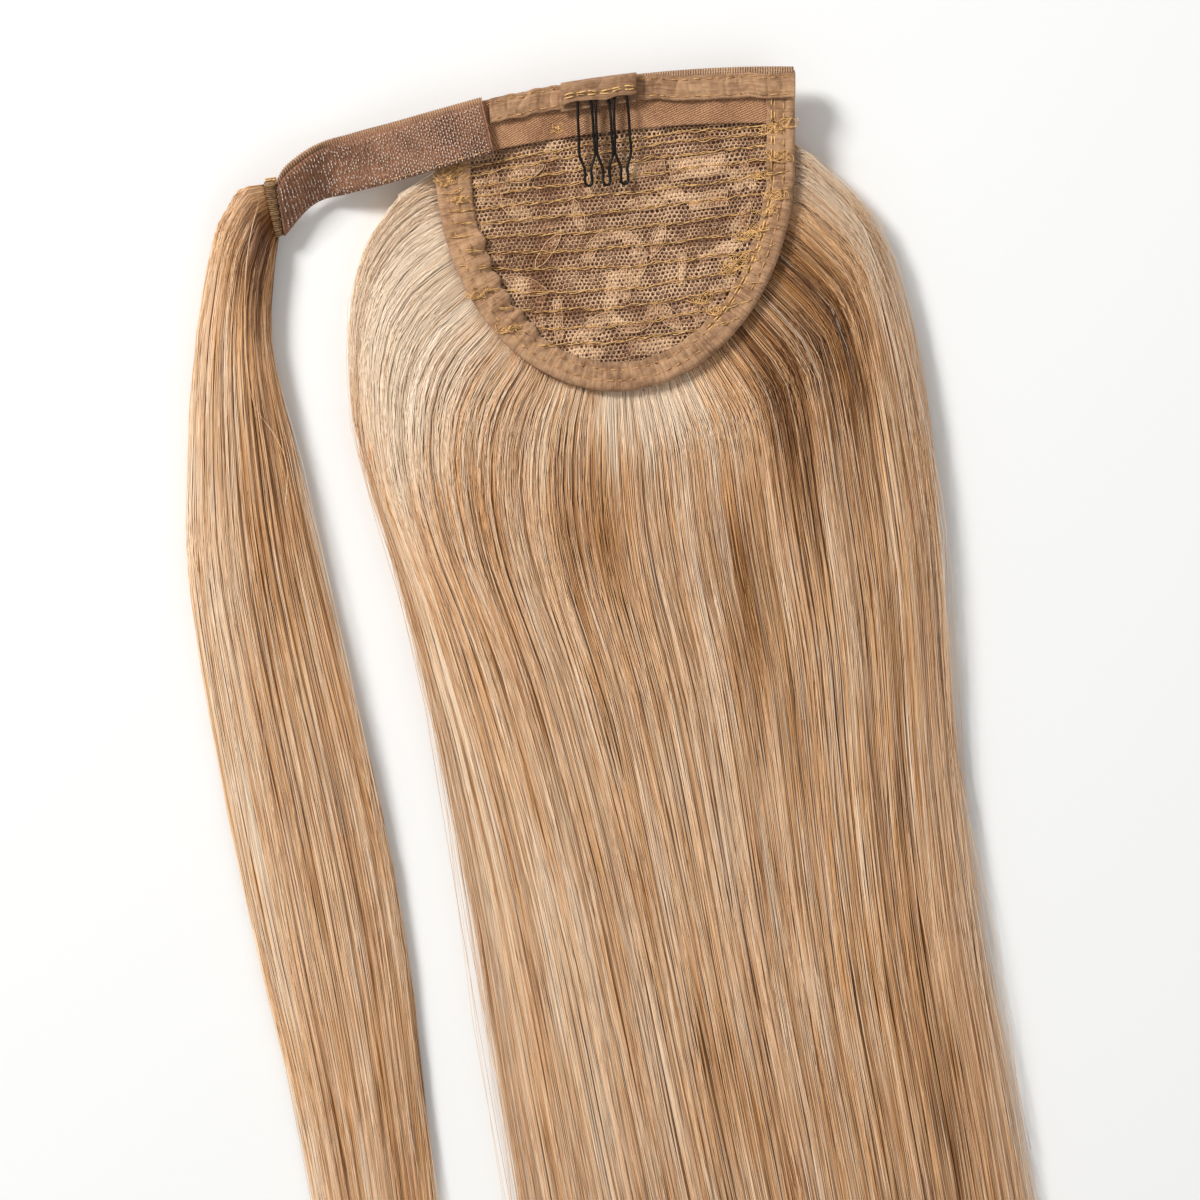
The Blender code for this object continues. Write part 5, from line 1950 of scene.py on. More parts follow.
@dataclass
class MainHair:
    """The long straight hair that comes out from under the cap."""

    length: float = 0.3700
    half_width: float = 0.0845
    lean: float = 0.0574
    side_step: float = 0.0084
    thickness: float = 0.0165
    edge_share: float = 0.34
    locks: int = 16
    lock_groove: float = 0.0013
    lock_tip: float = 0.0080
    layer: float = 0.0016
    strands: int = 4300
    points: int = 17
    radius: float = 0.000135
    bed_end: float = 0.965
    nose: float = 0.0042
    tuck: float = 0.87
    tone_width: float = 0.0009

    rows: tuple[HairRow, ...] = (
        HairRow(0.019, 0, 0.763, 0.8, 1.02, 1.0, 0, 0.25),
        HairRow(0.054, 0.01, 0.888, 1, 0.99, 1.0, 0.05, 0.60),
        HairRow(0.118, 0.03, 0.967, 1, 0.93, 1.0, 0.15, 1),
        HairRow(0.207, 0.11, 1.0, 1, 0.80, 0.90, 0.30, 1),
        HairRow(0.300, 0.24, 0.982, 0, 0.69, 0.80, 0.40, 1),
        HairRow(0.438, 0.39, 0.925, 0, 0.56, 0.68, 0.50, 1),
        HairRow(0.596, 0.55, 0.893, 0, 0.41, 0.57, 0.60, 1),
        HairRow(0.759, 0.73, 0.895, 0, 0.28, 0.46, 0.65, 1),
        HairRow(0.913, 0.90, 0.893, 0, 0.15, 0.32, 0.70, 1),
        HairRow(1.0, 1.0, 0.909, 0, 0.05, 0.12, 0.75, 1),
    )

    parts: tuple[tuple[str, float, float], ...] = (
        ("hair_far_left", 0.0, 0.25),
        ("hair_mid_left", 0.25, 0.5),
        ("hair_mid_right", 0.5, 0.75),
        ("hair_far_right", 0.75, 1.0),
    )

    def rim(self, share: Array) -> Array:
        """The points just outside the cap's rim where hair comes out from under it."""
        angle = math.pi * share
        x = -(CAP.half + 0.0003) * np.cos(angle)
        y = -(CAP.depth + 0.0003) * np.sin(angle) + self.side_step * (share - 0.5)
        return np.stack([x, y, CAP.under(x, y)], axis=-1)

    def point(self, row: HairRow, share: Array) -> Array:
        """The top of the hair on one row, at shares of the way across."""
        rim = self.rim(np.clip(share, 0, 1))
        evenly = 2 * share - 1
        inner = np.clip(share, 0, 1)
        across = mix(-np.cos(math.pi * inner), 2 * inner - 1, row.even) + 2 * (share - inner)
        x = row.centre * self.lean + row.half * self.half_width * across
        y = -row.drop * self.length + row.step * self.side_step * (share - 0.5)
        y = y - row.sag * CAP.depth * np.sin(math.pi * inner)
        dome = 1 - (1 - self.edge_share) * np.minimum(np.abs(evenly), 1) ** 4
        z = mix(rim[:, 2], row.height * self.thickness * dome, row.free)
        within = (share * self.locks) % 1.0
        groove = 1 - np.sin(math.pi * within)
        z = z - self.lock_groove * groove * row.free * math.sqrt(row.height)
        if row.drop == 1.0:
            y = y - self.lock_tip * np.sin(math.pi * within)
        return np.stack([x, y, z], axis=-1)

    def sections(self, shares: Array) -> Array:
        """All rows of points, from under the cap's edge to the tips.

        Args:
            shares: Where each hair is at each row, first by row, then by hair.

        Returns:
            The points, first by row, then by hair.
        """
        rim = self.rim(np.clip(shares[1], 0, 1))
        tucked = self.rim(np.clip(shares[0], 0, 1))
        tucked[:, :2] *= self.tuck
        tucked[:, 2] -= 0.0002
        body = [
            self.point(row, shares[index + 2])
            for index, row in enumerate(with_halfway(self.rows))
        ]
        return np.array([tucked, rim, *body])

    def row_places(self) -> Array:
        """How far down each row is, from 0 at the rim to 1 at the tips."""
        return np.array([0.0, 0.004, *[row.drop for row in with_halfway(self.rows)]])

    def hairs(
        self, share: Array, deep: Array, seed: int, lift: Values = 0.0
    ) -> tuple[Array, Array]:
        """The paths of single hairs.

        Args:
            share: Where each hair starts across.
            deep: How deep each one lies, as a share of the layer.
            seed: Varies how they lie.
            lift: How far each is raised.

        Returns:
            The points, first by point, then by hair, and how far down the hair each one is.
        """
        chance = np.random.default_rng(seed)
        places = self.row_places()
        lie = Lie(74, 0.26, 0.0036, 0.30, seed)
        shares = lie.shares(share, places)
        rows = self.sections(shares)
        sunk = lie.depths(deep, places)[..., None]
        free = smooth_step(places / 0.02)[:, None]
        thin = np.clip(rows[..., 2] / 0.0060, 0.15, 1.0)
        rows[..., 2] -= (sunk[..., 0] * self.layer * thin + 0.00012) * (0.3 + 0.7 * free)
        rows[..., 2] = np.maximum(rows[..., 2], 0.0003)
        rows[..., 2] += lift
        knots = chord_knots(rows)
        tip = knots[-1] * (1 - np.abs(chance.normal(0, 0.030, share.shape)))
        broken = chance.random(share.shape) < 0.12
        tip = np.where(broken, tip * chance.uniform(0.8, 1, share.shape), tip)
        start = knots[0] + chance.uniform(0, 0.004, share.shape)
        at = mix(start[None], tip[None], spaced(self.points, 0.64, 2.1, share.shape, chance))
        path = curve_through(rows, knots, at)
        spare = 0.00022 * chance.standard_normal((3, *share.shape))
        wave = np.sin(at * 2 * math.pi / 0.045 + FULL_TURN * chance.random(share.shape))
        path[..., 0] += spare[0] * wave
        path[..., 2] += 0.5 * np.abs(spare[1]) * wave
        path[..., 2] = np.maximum(path[..., 2], 0.00025)
        return path, at / knots[-1]

    def body(self) -> Piece:
        """Makes the solid bed of hair below the loose hairs, with its locks."""
        columns = 145
        share = np.linspace(0, 1, columns)
        places = self.row_places()
        rows = self.sections(np.repeat(share[None], len(places), axis=0))
        knots = chord_knots(rows)
        down = np.linspace(0.004, self.bed_end, 64)
        at = np.linspace(knots[1] * 0.5, knots[-1] * self.bed_end, 64)[:, None] + 0 * share
        top = curve_through(rows, knots, at)
        inside = 1 - 2 * self.radius / self.half_width - 0.006
        middle = (top[:, :1] + top[:, -1:]) / 2
        top[..., :2] = (middle + (top - middle) * inside)[..., :2]
        fine = np.abs(np.sin(share * 150 * math.pi + 3 * np.sin(share * 40)))
        groove = 0.00035 * fine[None, :] * smooth_step(np.linspace(0, 8, 64))[:, None]
        top[..., 2] = np.maximum(top[..., 2] - 0.0011 - groove, 0.35 * top[..., 2])
        top[..., 2] *= mix(1.0, 0.2, smooth_step((down - 0.93) / (self.bed_end - 0.93)))[:, None]
        bottom = top.copy()
        bottom[..., 2] = 0.0
        bed = self.bed(share)
        under = bed * (1, 1, 0)
        under[0, :, 1] -= 0.12 * self.nose
        top = np.concatenate([bed, top])
        bottom = np.concatenate([under, bottom])
        down = np.concatenate([np.linspace(0.0, 0.003, len(bed)), down])
        return close_body("hair_bed", top, bottom, share, down)

    def top_end(self, share: Array, angle: Values, spare: Values = 0.0) -> Array:
        """Points on the rounded end of the hair under the cap's top edge.

        Args:
            share: Where each point is across.
            angle: How far up the round end it is, from 0 to a right angle.
            spare: How far outside the round end it is.

        Returns:
            The points' X, Y and Z.
        """
        x = self.rim(share)[:, 0] * (0.98 - 0.0040 / CAP.half)
        x = x * (1 - 0.025 * (1 - np.sin(angle)))
        middle = CAP.top_edge(x) - 0.0062 - self.nose
        y = middle + (self.nose + spare) * np.cos(angle)
        z = (CAP.under(x, y) - 0.0004) * mix(0.42, 1.0, np.sin(angle)) + spare * np.sin(angle)
        return np.stack([x, y, z], axis=-1)

    def bed(self, share: Array) -> Array:
        """Rows of points over the hair that the cap lies on, from its top end to its rim."""
        rows = [self.top_end(share, angle) for angle in np.linspace(0, math.pi / 2, 6)]
        end, rim = rows[-1], self.rim(share)
        for part in (0.3, 0.6, 0.88):
            row = mix(end, rim, part)
            row[:, :2] *= mix(1.0, 0.98, part)
            row[:, 2] = CAP.under(row[:, 0], row[:, 1]) - 0.0004
            rows.append(row)
        return np.array(rows)

    def root_hairs(self, colours: Material) -> Piece:
        """Makes the hairs that turn down over the end of the hair, under the cap's top edge.

        Args:
            colours: The hair's material.

        Returns:
            The hairs as one piece.
        """
        chance = np.random.default_rng(450)
        count = 420
        share = (np.arange(count) + chance.uniform(0, 1, count)) / count
        share = mix(0.02, 0.98, np.arccos(1 - 2 * share) / math.pi)
        sway = chance.normal(0, 0.006, count)
        spare = chance.uniform(0.0001, 0.0006, count)
        low = chance.uniform(0.0002, 0.0010, count)
        points = []
        for part, angle in zip(np.linspace(0, 1, 5), np.radians((105, 80, 52, 26, 4))):
            points.append(self.top_end(np.clip(share + sway * part, 0, 1), angle, spare))
        foot = points[-1].copy()
        foot[:, 1] -= 0.08 * self.nose
        foot[:, 2] = low
        path = np.array([*points, foot])
        along = np.linspace(0.004, 0.02, 6)[:, None] + 0 * share
        hairs = Tubes()
        hairs.add(path, self.radius * 1.1, 3, share, self.tone_width, along)
        for end, out in ((0.0, -1.0), (1.0, 1.0)):
            wall = self.bed(np.array([end]))[[2, 5, 6, 7, 8], 0]
            first = self.sections(np.full((len(self.row_places()), 1), end))[1:3, 0]
            wall = np.concatenate([wall, first])[:, None] + 0 * chance.random((1, 60, 1))
            up = (np.arange(60) + chance.uniform(0, 1, 60)) / 60
            rise = np.clip(up + chance.normal(0, 0.05, (len(wall), 60)), 0.02, 1.0)
            wall[..., 2] *= rise
            wall[..., 0] += out * chance.uniform(0.0002, 0.0008, 60)
            tone = np.clip(np.abs(end - 0.06 * chance.random(60)), 0, 0.999)
            along = np.linspace(0.006, 0.03, len(wall))[:, None] + 0 * up
            hairs.add(wall, self.radius * 1.1, 3, tone, self.tone_width, along)
        return Bench.hand_over(hairs.build("root_hairs"), colours, "hair", ["main_hair"])

    def finish(self, name: str, **changes: object) -> HairFinish:
        """The main hair's colours, with the places where it is lighter or darker, some of them
        painted highlights.
        """
        patches = (
            # Painted highlights: below the cap's lower rim where the hair bulges towards the light,
            # and on the left near the cap and down the far left edge, towards the key light. The
            # other ovals make the hair lighter or darker in places.
            Patch(0.55, 0.04, 0.14, 0.085, 0.70),
            Patch(0.10, 0.07, 0.24, 0.20, 0.95),
            Patch(0.03, 0.42, 0.12, 0.45, 0.16),
            Patch(0.82, 0.10, 0.17, 0.20, -0.50),
            Patch(0.36, 0.00, 0.12, 0.035, -0.22),
            Patch(0.44, 0.14, 0.10, 0.13, -0.20),
            Patch(0.62, 0.24, 0.07, 0.14, -0.16),
            Patch(0.985, 0.16, 0.05, 0.26, 0.34),
            Patch(0.455, 0.02, 0.006, 0.06, -0.55),
            Patch(0.90, 0.80, 0.10, 0.22, -0.16),
            Patch(0.5, 1.02, 1.4, 0.16, 0.30),
        )
        return HairFinish(name, patches=patches, **changes)

    def build(self) -> list[Piece]:
        """Makes the bed and the loose hairs over it."""
        made = []
        bed = self.body()
        # The bed's darker colours are painted shade between the hairs.
        shade = self.finish("hair_bed_shaded_streaks", **BED_SHADE_COLOURS)
        made.append(Bench.hand_over(bed, shade.material(), "hair", ["main_hair"]))
        colours = self.finish("honey_hair").material()
        for number, (name, low, high) in enumerate(self.parts):
            chance = np.random.default_rng(400 + number)
            count = self.strands // len(self.parts)
            share = chance.uniform(low, high, count)
            edge = np.clip((np.abs(2 * share - 1) - 0.90) / 0.10, 0, 1)
            deep = chance.random(count) ** 1.3
            deep = deep + edge * chance.random(count) * 3.0 * (chance.random(count) < 0.6)
            path, along = self.hairs(share, deep, 410 + number)
            tone = np.clip(share + chance.normal(0, 0.0035, count), low, high - 0.001)
            radius = self.radius * chance.uniform(0.72, 1.2, count)
            hairs = Tubes()
            hairs.add(path, radius * tapered(self.points), 3, tone, self.tone_width, along)
            piece = hairs.build(name, (low, high))
            made.append(Bench.hand_over(piece, colours, "hair", ["main_hair"]))
        made.append(self.stray_hairs(colours))
        made.append(self.root_hairs(colours))
        return made

    def stray_hairs(self, colours: Material) -> Piece:
        """Makes the thin hairs that have come loose at the edges and on top.

        Args:
            colours: The hair's material.

        Returns:
            The stray hairs as one piece.
        """
        chance = np.random.default_rng(440)
        count = 240
        edges = chance.choice([0.0, 1.0], count, p=[0.35, 0.65])
        share = np.where(
            chance.random(count) < 0.65,
            np.abs(edges - np.abs(chance.normal(0, 0.03, count))),
            chance.uniform(0.02, 0.98, count),
        )
        path, along = self.hairs(share, 0 * share, 441, chance.uniform(0.0001, 0.0012, count))
        out = np.where(share > 0.5, 1.0, -1.0)
        reach = np.abs(chance.normal(0.0, 0.0022, count))
        start, spin = chance.uniform(0, 1, count), chance.uniform(0.6, 1.6, count)
        stray = smooth_step((along - 0.7 * start) / 0.3)
        path[..., 0] += out * reach * stray * (1 + 0.5 * np.sin(FULL_TURN * spin * along + start * 6))
        path[..., 2] += 0.0010 * stray * chance.random(count)
        tone = chance.uniform(0.0, 0.3, count)
        hairs = Tubes()
        hairs.add(path, 0.00008, 3, tone, self.tone_width, along)
        share = chance.uniform(0.93, 1.0, 80)
        path, along = self.hairs(share, 0 * share, 442)
        bow = np.sin(math.pi * np.clip(along / chance.uniform(0.30, 0.45, 80), 0, 1))
        path[..., 0] += chance.uniform(0.0004, 0.0052, 80) * bow
        hairs.add(path, 0.00007, 3, chance.uniform(0.9, 0.99, 80), self.tone_width, along)
        return Bench.hand_over(hairs.build("stray_hairs"), colours, "hair", ["main_hair"])


def tapered(count: int) -> Array:
    """How thick a hair is at each of its points, which is thin only at its tip."""
    return np.append(np.ones(count - 1), 0.25)[:, None]


def spaced(
    count: int, bent: float, power: float, many: tuple[int, ...], chance: np.random.Generator
) -> Array:
    """Shares of each hair's length, close together where it bends near its root.

    Args:
        count: How many points each hair has.
        bent: How much closer the first ones are.
        power: How soon they spread out.
        many: The number of hairs, as a shape.
        chance: Moves the points of each hair a little along it.

    Returns:
        Shares of 0 to 1, first by point, then by hair.
    """
    step = np.arange(count)[:, None] + chance.uniform(-0.4, 0.4, many)
    step[0], step[-2], step[-1] = 0, count - 1.2, count - 1
    even = step / (count - 1)
    return (1 - bent) * even + bent * even ** power


def close_body(
    name: str, top: Array, bottom: Array, share: Array, down: Array
) -> Piece:
    """A closed body between rows of upper and lower points.

    Args:
        name: The piece's name.
        top: The upper points, first by row, then across.
        bottom: The lower points in the same order.
        share: Where each column is across the flow map.
        down: How far down the flow map each row is.

    Returns:
        The new piece.
    """
    rows, columns = top.shape[:2]
    upper = np.arange(rows * columns).reshape(rows, columns)
    lower = upper + rows * columns
    points = np.concatenate([top.reshape(-1, 3), bottom.reshape(-1, 3)])

    def faces(index: Array, flip: bool) -> Array:
        """The faces between rows and columns of points."""
        quad = (index[:-1, :-1], index[1:, :-1], index[1:, 1:], index[:-1, 1:])
        return np.stack(quad[::-1] if flip else quad, axis=-1).reshape(-1, 4)

    def strip(first: Array, second: Array) -> Array:
        """The faces that join an upper edge to the lower one."""
        quad = (first[:-1], first[1:], second[1:], second[:-1])
        return np.stack(quad, axis=-1)

    quads = np.concatenate(
        [
            faces(upper, False),
            faces(lower, True),
            strip(lower[:, 0], upper[:, 0])[:, ::-1],
            strip(upper[:, -1], lower[:, -1])[:, ::-1],
            strip(upper[0], lower[0])[:, ::-1],
            strip(lower[-1], upper[-1])[:, ::-1],
        ]
    )
    spots = np.stack(np.broadcast_arrays(share[None, :], down[:, None]), axis=-1).reshape(-1, 2)
    flow = np.concatenate([spots, spots])[quads.ravel()]
    maps = {BAKE_MAP: np.clip(flow, 0.001, 0.999), FLOW_MAP: flow}
    piece = Bench.mesh(name, points, quads, np.zeros((0, 3), int), maps)
    Bench.choose(piece)
    bpy.ops.object.mode_set(mode="EDIT")
    bpy.ops.mesh.select_all(action="SELECT")
    bpy.ops.mesh.normals_make_consistent(inside=False)
    bpy.ops.object.mode_set(mode="OBJECT")
    return piece


@dataclass(frozen=True)
class WrapRow:
    """One section across the wrap hair, as drawn."""

    drop: float
    lean: float
    half: float
    turn: float
    thick: float
    left_lift: float = 0.0
    right_lift: float = 0.0


@dataclass
class WrapHair:
    """The narrow lock on the strap's end, with the rolled root that it grows from."""

    strap: Strap
    drop: float = 0.3420
    lean: float = 0.0371
    half_width: float = 0.0232
    thickness: float = 0.0120
    edge_share: float = 0.34
    locks: int = 6
    groove: float = 0.0010
    lock_tip: float = 0.0060
    roll_radius: float = 0.0016
    strands: int = 1200
    points: int = 17
    radius: float = 0.000135
    bed_end: float = 0.965
    bed_width: float = 0.965
    bed_deep: float = 0.11
    bed_under: float = 0.985
    tone_width: float = 0.003

    loose_curl: tuple[tuple[int, int], ...] = (
        (262, 190),
        (250, 240),
        (245, 300),
        (247, 360),
        (256, 408),
        (274, 434),
        (286, 460),
        (286, 505),
    )

    rows: tuple[WrapRow, ...] = (
        WrapRow(0.014, -0.09, 0.52, 64, 0.50, 0.55, 0.22),
        WrapRow(0.046, -0.20, 0.59, 55, 0.78, 0.25, 0.08),
        WrapRow(0.095, -0.25, 0.61, 44, 0.98),
        WrapRow(0.149, -0.25, 0.63, 24, 1.0),
        WrapRow(0.215, -0.21, 0.72, 5, 0.97),
        WrapRow(0.305, -0.13, 0.86, -2, 0.90),
        WrapRow(0.419, 0.07, 0.95, -2, 0.82),
        WrapRow(0.533, 0.30, 1.0, -2, 0.75),
        WrapRow(0.655, 0.52, 0.97, -2, 0.66),
        WrapRow(0.770, 0.71, 0.86, -2, 0.58),
        WrapRow(0.875, 0.87, 0.78, -2, 0.46),
        WrapRow(0.954, 0.96, 0.73, -1, 0.33),
        WrapRow(1.0, 1.0, 0.71, 0, 0.14),
    )

    def root(self) -> tuple[Array, Array, Array]:
        """The upper and lower corners of the strap's far end, and the way out from it."""
        half = self.strap.width / 2
        upper, lower = self.strap.drawn(half, 0.0)[-1], self.strap.drawn(-half, 0.0)[-1]
        across = upper - lower
        out = np.array((-across[1], across[0], 0.0))
        return upper, lower, out / np.linalg.norm(out)

    def section(self, row: WrapRow, share: Array, deep: Values) -> Array:
        """Points of one row, deep below the top of the hair by a share of its thickness."""
        upper, lower, out = self.root()
        start = (upper + lower) / 2 + out * (0.0006 + 2 * self.roll_radius)
        turn = math.radians(row.turn)
        side = 2 * share - 1
        x = start[0] + row.lean * self.lean + math.cos(turn) * row.half * self.half_width * side
        y = start[1] - row.drop * self.drop - math.sin(turn) * row.half * self.half_width * side
        round_side = np.sqrt(np.maximum(1 - side ** 2, 0))
        thick = row.thick * self.thickness * mix(self.edge_share, 1, round_side)
        crest = np.sin(math.pi * ((share * self.locks) % 1.0))
        if row.drop == 1.0:
            y = y - self.lock_tip * crest
        groove = self.groove * (1 - crest) * row.thick
        lift = self.thickness * np.maximum(mix(row.left_lift, row.right_lift, share), 0)
        return np.stack([x, y, lift + (thick - groove) * (1 - deep)], axis=-1)

    def sections(self, shares: Array, deep: Array) -> Array:
        """All rows of points, from the roll to the tips.

        Args:
            shares: Where each hair is at each row, first by row, then by hair.
            deep: How deep each one is, in the same order.

        Returns:
            The points, first by row, then by hair.
        """
        upper, lower, out = self.root()

        def sewn(share: Array, reach: float, rise: float) -> Array:
            """Points on the roll."""
            middle = mix(upper, lower, np.clip(share, 0.03, 0.97)[:, None])
            bulge = self.roll_radius * mix(0.5, 1, np.sin(math.pi * np.clip(share, 0, 1)))
            point = middle + out * reach
            point[:, 2] += bulge * rise
            return point

        sunk = 1 - 1.6 * np.clip(deep[0], 0, 1)
        body = [
            self.section(row, shares[index + 2], deep[index + 2])
            for index, row in enumerate(with_halfway(self.rows))
        ]
        first = sewn(shares[0], 0.0020, 0.1)
        second = sewn(shares[1], 0.0008 + 2 * self.roll_radius, 0.75)
        for row in (first, second):
            row[:, 2] -= self.roll_radius * (1 - sunk) * 0.8
        return np.array([first, second, *body])

    def row_places(self) -> Array:
        """How far down each row is, from 0 at the roll to 1 at the tips."""
        return np.array([0.0, 0.006, *[row.drop for row in with_halfway(self.rows)]])

    def finish(self, name: str, **changes: object) -> HairFinish:
        """The wrap hair's colours: painted shade across its root, pale down its outer side."""
        patches = (
            # Painted shade: the hair darkens across its root, by the roll and the strap's end.
            Patch(0.60, 0.0, 0.75, 0.14, -0.80),
            Patch(0.80, 0.22, 0.16, 0.30, -0.26),
            Patch(0.10, 0.36, 0.22, 0.40, 0.16),
            Patch(0.75, 0.62, 0.12, 0.30, -0.12),
            Patch(0.5, 1.02, 1.4, 0.16, 0.30),
        )
        return HairFinish(
            name,
            strands_across=260,
            locks_across=15,
            broad_across=4,
            patches=patches,
            **changes,
        )

    def build(self) -> list[Piece]:
        """Makes the roll, the bed of hair and the loose hairs over it."""
        places = self.row_places()
        share = np.linspace(0, 1, 49)
        inner = 0.5 + (share - 0.5) * self.bed_width
        shares = np.repeat(inner[None], len(places), axis=0)
        deep = np.full(shares.shape, self.bed_deep)
        rows = self.sections(shares, deep)
        under = self.sections(shares, np.full(shares.shape, self.bed_under))
        knots = chord_knots(rows)
        at = np.linspace(knots[0], knots[-1] * self.bed_end, 60)[:, None] + 0 * share
        top, bottom = curve_through(rows, knots, at), curve_through(under, knots, at)
        bottom[..., :2] = top[..., :2]
        bottom[..., 2] = np.clip(bottom[..., 2], 0.0, top[..., 2] - 0.0003)
        bed = close_body("wrap_bed", top, bottom, share, np.linspace(0, self.bed_end, 60))
        # The bed's darker colours are painted shade between the hairs.
        shade = self.finish("wrap_bed_shaded_streaks", **BED_SHADE_COLOURS)
        Bench.hand_over(bed, shade.material(), "hair", ["wrap_hair"])
        colours = self.finish("wrap_hair_honey").material()
        hairs = self.build_hairs(colours)
        return [bed, hairs, self.build_stray_hairs(colours), self.build_roll()]

    def hairs(self, share: Array, sink: Array, seed: int) -> tuple[Array, Array]:
        """The paths of single hairs.

        Args:
            share: Where each hair starts across.
            sink: How deep each lies, as a share of the hair's thickness.
            seed: Varies how they lie.

        Returns:
            The points, first by point, then by hair, and how far down the hair each one is.
        """
        chance = np.random.default_rng(seed)
        places = self.row_places()
        lie = Lie(20, 0.26, 0.011, 0.05, seed)
        shares = np.clip(lie.shares(share, places), 0.0, 1.0)
        rows = self.sections(shares, lie.depths(sink, places))
        knots = chord_knots(rows)
        tip = knots[-1] * (1 - np.abs(chance.normal(0, 0.035, share.shape)))
        at = mix(knots[0], tip[None], spaced(self.points, 0.58, 2.0, share.shape, chance))
        path = curve_through(rows, knots, at)
        spare = 0.00020 * chance.standard_normal((2, *share.shape))
        wave = np.sin(at * 2 * math.pi / 0.05 + FULL_TURN * chance.random(share.shape))
        path[..., 0] += spare[0] * wave
        path[..., 2] = np.maximum(path[..., 2] + 0.5 * np.abs(spare[1]) * wave, 0.00025)
        return path, at / knots[-1]

    def build_hairs(self, colours: Material) -> Piece:
        """Makes the loose hairs of the wrap."""
        chance = np.random.default_rng(500)
        share = chance.beta(0.85, 0.85, self.strands)
        side = np.abs(2 * share - 1)
        sink = 0.15 * chance.random(self.strands)
        low = (chance.random(self.strands) < 0.5) * smooth_step((side - 0.8) / 0.15)
        sink = sink + low * 0.8 * chance.random(self.strands)
        path, along = self.hairs(share, sink, 501)
        radius = self.radius * chance.uniform(0.72, 1.2, self.strands)
        tone = np.clip(share + chance.normal(0, 0.012, self.strands), 0, 0.997)
        hairs = Tubes()
        hairs.add(path, radius * tapered(self.points), 3, tone, self.tone_width, along)
        return Bench.hand_over(hairs.build("wrap_strands"), colours, "hair", ["wrap_hair"])

    def build_stray_hairs(self, colours: Material) -> Piece:
        """Makes the thin loose hairs beside the wrap and over it."""
        chance = np.random.default_rng(510)
        count = 50
        share = np.where(chance.random(count) < 0.6, 0.97, chance.uniform(0.05, 0.95, count))
        path, along = self.hairs(share, 0 * share, 511)
        start = chance.uniform(0, 0.8, count)
        stray = smooth_step((along - start) / 0.25)
        path[..., 0] += np.abs(chance.normal(0, 0.003, count)) * stray * np.sin(5 * along + start * 4)
        path[..., 2] += 0.0008 * stray
        path[..., 2] = np.maximum(path[..., 2], 0.0003)
        hairs = Tubes()
        hairs.add(path, 0.00008, 3, chance.uniform(0, 0.3, count), self.tone_width, along)
        x, y = photo_place(*np.array(self.loose_curl, float).T)
        rise = np.interp(np.arange(len(x)), (0, 1, len(x) - 1), (0.0105, 0.0132, 0.0128))
        drawn = np.stack([x, y, rise], axis=-1)[:, None]
        knots = chord_knots(drawn)
        curl = curve_through(drawn, knots, np.linspace(0, knots[-1], 60)[:, None])
        hairs.add(curl, 0.00009, 4, np.array([0.4]), self.tone_width)
        return Bench.hand_over(hairs.build("wrap_stray_hairs"), colours, "hair", ["wrap_hair"])

    def build_roll(self) -> Piece:
        """Makes the rolled root with the thread that is wound over it."""
        upper, lower, out = self.root()
        along = np.linspace(0, 1, 60)[:, None]
        middle = mix(upper, lower, along) + out * (0.0003 + self.roll_radius)
        lump = 1 + 0.10 * np.sin(along * 60) + 0.06 * np.sin(along * 23 + 1)
        roll = Tubes()
        radius = self.roll_radius * lump
        radius[0] = radius[-1] = 0.0006
        roll.add(middle[:, None], radius, 12, np.array([0.0]), 0.9)
        turn = np.linspace(0, 1, 700)[:, None]
        centre = mix(upper, lower, turn) + out * (0.0003 + self.roll_radius)
        angle = turn * 2 * math.pi * 26 + 0.8 * np.sin(turn * 40)
        across = (upper - lower) / np.linalg.norm(upper - lower)
        rise = np.cross(out, across)
        reach = self.roll_radius * (1.10 + 0.06 * np.sin(turn * 90))
        winding = centre + (out * np.cos(angle) + rise * np.sin(angle)) * reach
        roll.add(winding[:, None], 0.00014, 4, np.array([0.92]), 0.05)
        knot = np.linspace(0, 1, 70)[:, None]
        for number, place in enumerate((0.03, 0.07, 0.95)):
            spin = knot * 2 * math.pi * 2.6 + number
            loop = across * np.sin(spin) * 0.0013 + out * np.cos(1.7 * spin) * 0.0016
            loop = loop + rise * (0.0019 + 0.0004 * np.sin(3 * spin))
            start = mix(upper, lower, place) + out * self.roll_radius
            roll.add((start + loop)[:, None], 0.00016, 4, np.array([0.97]), 0.02)
        piece = roll.build("sewn_root")
        light, deep = (0.26, 0.140, 0.060), (0.070, 0.033, 0.014)
        finish = ThreadFinish("root_winding", light, deep, 0.55, (0.80, 0.50, 0.20)).material()
        return Bench.hand_over(piece, finish, "hair_root", ["wrap_roll"])


# The studio


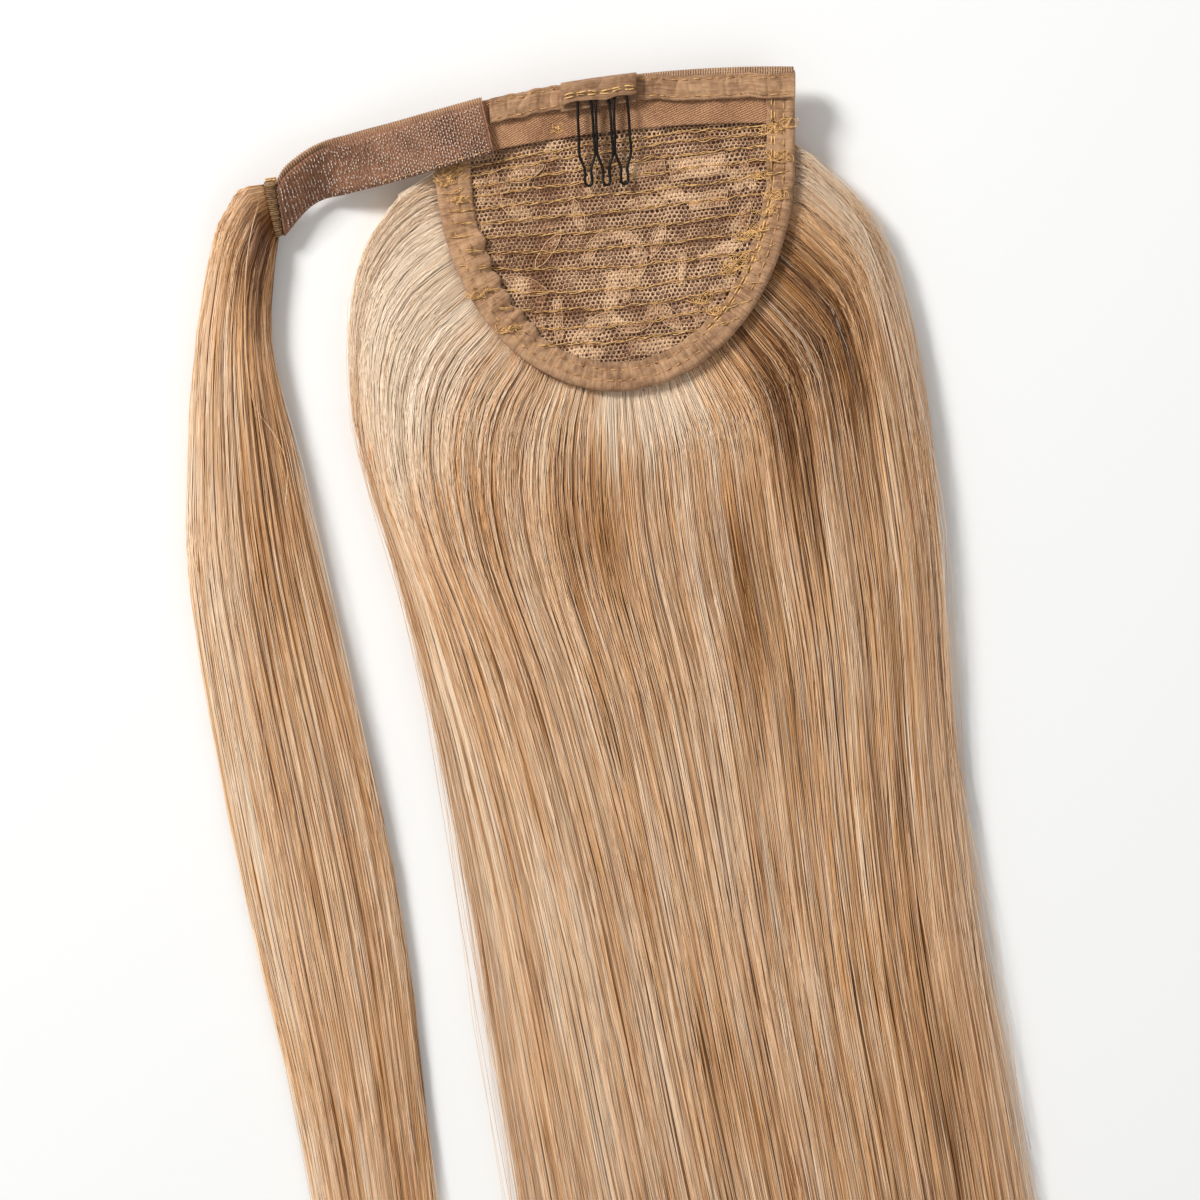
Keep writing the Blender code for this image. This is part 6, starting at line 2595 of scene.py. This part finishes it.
@dataclass
class Studio:
    """The pale table, the soft lights and the camera."""

    middle: tuple[float, float] = (-0.00696, 0.04421)
    plane: float = 0.011
    lens: float = 180.0
    sensor: float = 36.0
    framed: float = 0.360
    table: float = 6.0
    key_power: float = 60.0
    fill_power: float = 5.0
    sky: float = 0.42

    def light(
        self, name: str, place: tuple[float, float, float], size: float, power: float
    ) -> Piece:
        """Adds a square soft light that faces the middle of the view.

        Args:
            name: The light's name.
            place: Where it stands.
            size: The length of its side.
            power: Its power in watts.

        Returns:
            The light.
        """
        lamp = bpy.data.lights.new(name, "AREA")
        lamp.shape = "SQUARE"
        lamp.size = size
        lamp.energy = power
        holder = bpy.data.objects.new(name, lamp)
        bpy.context.scene.collection.objects.link(holder)
        holder.location = place
        aim = Vector((*self.middle, 0.0)) - Vector(place)
        holder.rotation_euler = aim.to_track_quat("-Z", "Y").to_euler()
        return holder

    def build(self) -> None:
        """Sets up the table, the lights, the sky and the camera."""
        scene = bpy.context.scene
        Bench.deselect()
        bpy.ops.mesh.primitive_plane_add(size=self.table, location=(0, 0, -0.0002))
        floor = bpy.context.object
        floor.name = floor.data.name = "table_top"
        floor.data.transform(floor.matrix_world)
        floor.matrix_world.identity()
        floor.data.materials.append(TableFinish().material())
        self.light("key_softbox", (-1.50, 1.30, 1.50), 0.65, self.key_power)
        self.light("fill_softbox", (1.2, -0.6, 1.5), 1.4, self.fill_power)
        world = bpy.data.worlds.new("studio_sky")
        scene.world = world
        world.use_nodes = True
        backdrop = world.node_tree.nodes["Background"]
        backdrop.inputs["Color"].default_value = (1.0, 0.995, 0.985, 1.0)
        backdrop.inputs["Strength"].default_value = self.sky
        camera = bpy.data.cameras.new("overhead_camera")
        camera.lens = self.lens
        camera.sensor_width = self.sensor
        camera.clip_start = 0.05
        holder = bpy.data.objects.new("overhead_camera", camera)
        scene.collection.objects.link(holder)
        away = self.framed * self.lens / self.sensor
        holder.location = (*self.middle, self.plane + away)
        scene.camera = holder
        scene.view_settings.view_transform = "Standard"


def main() -> None:
    """Builds the hairpiece's pieces in order."""
    logging.basicConfig(level=logging.INFO, format="%(message)s", stream=sys.stdout)
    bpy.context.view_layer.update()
    Studio().build()
    lace, rim, edge, strap = LaceNet(), RimBinding(), TopEdge(), Strap()
    net = lace.build()
    lace.build_cords()
    lace.build_weft()
    binding = rim.build()
    edge_pieces = edge.build()
    Comb().build()
    strap_pieces = strap.build()
    Stitching(rim, lace, edge, strap).build()
    MainHair().build()
    WrapHair(strap).build()
    LOG.info("%d pieces", len(Bench.made))


if __name__ == "__main__":
    main()
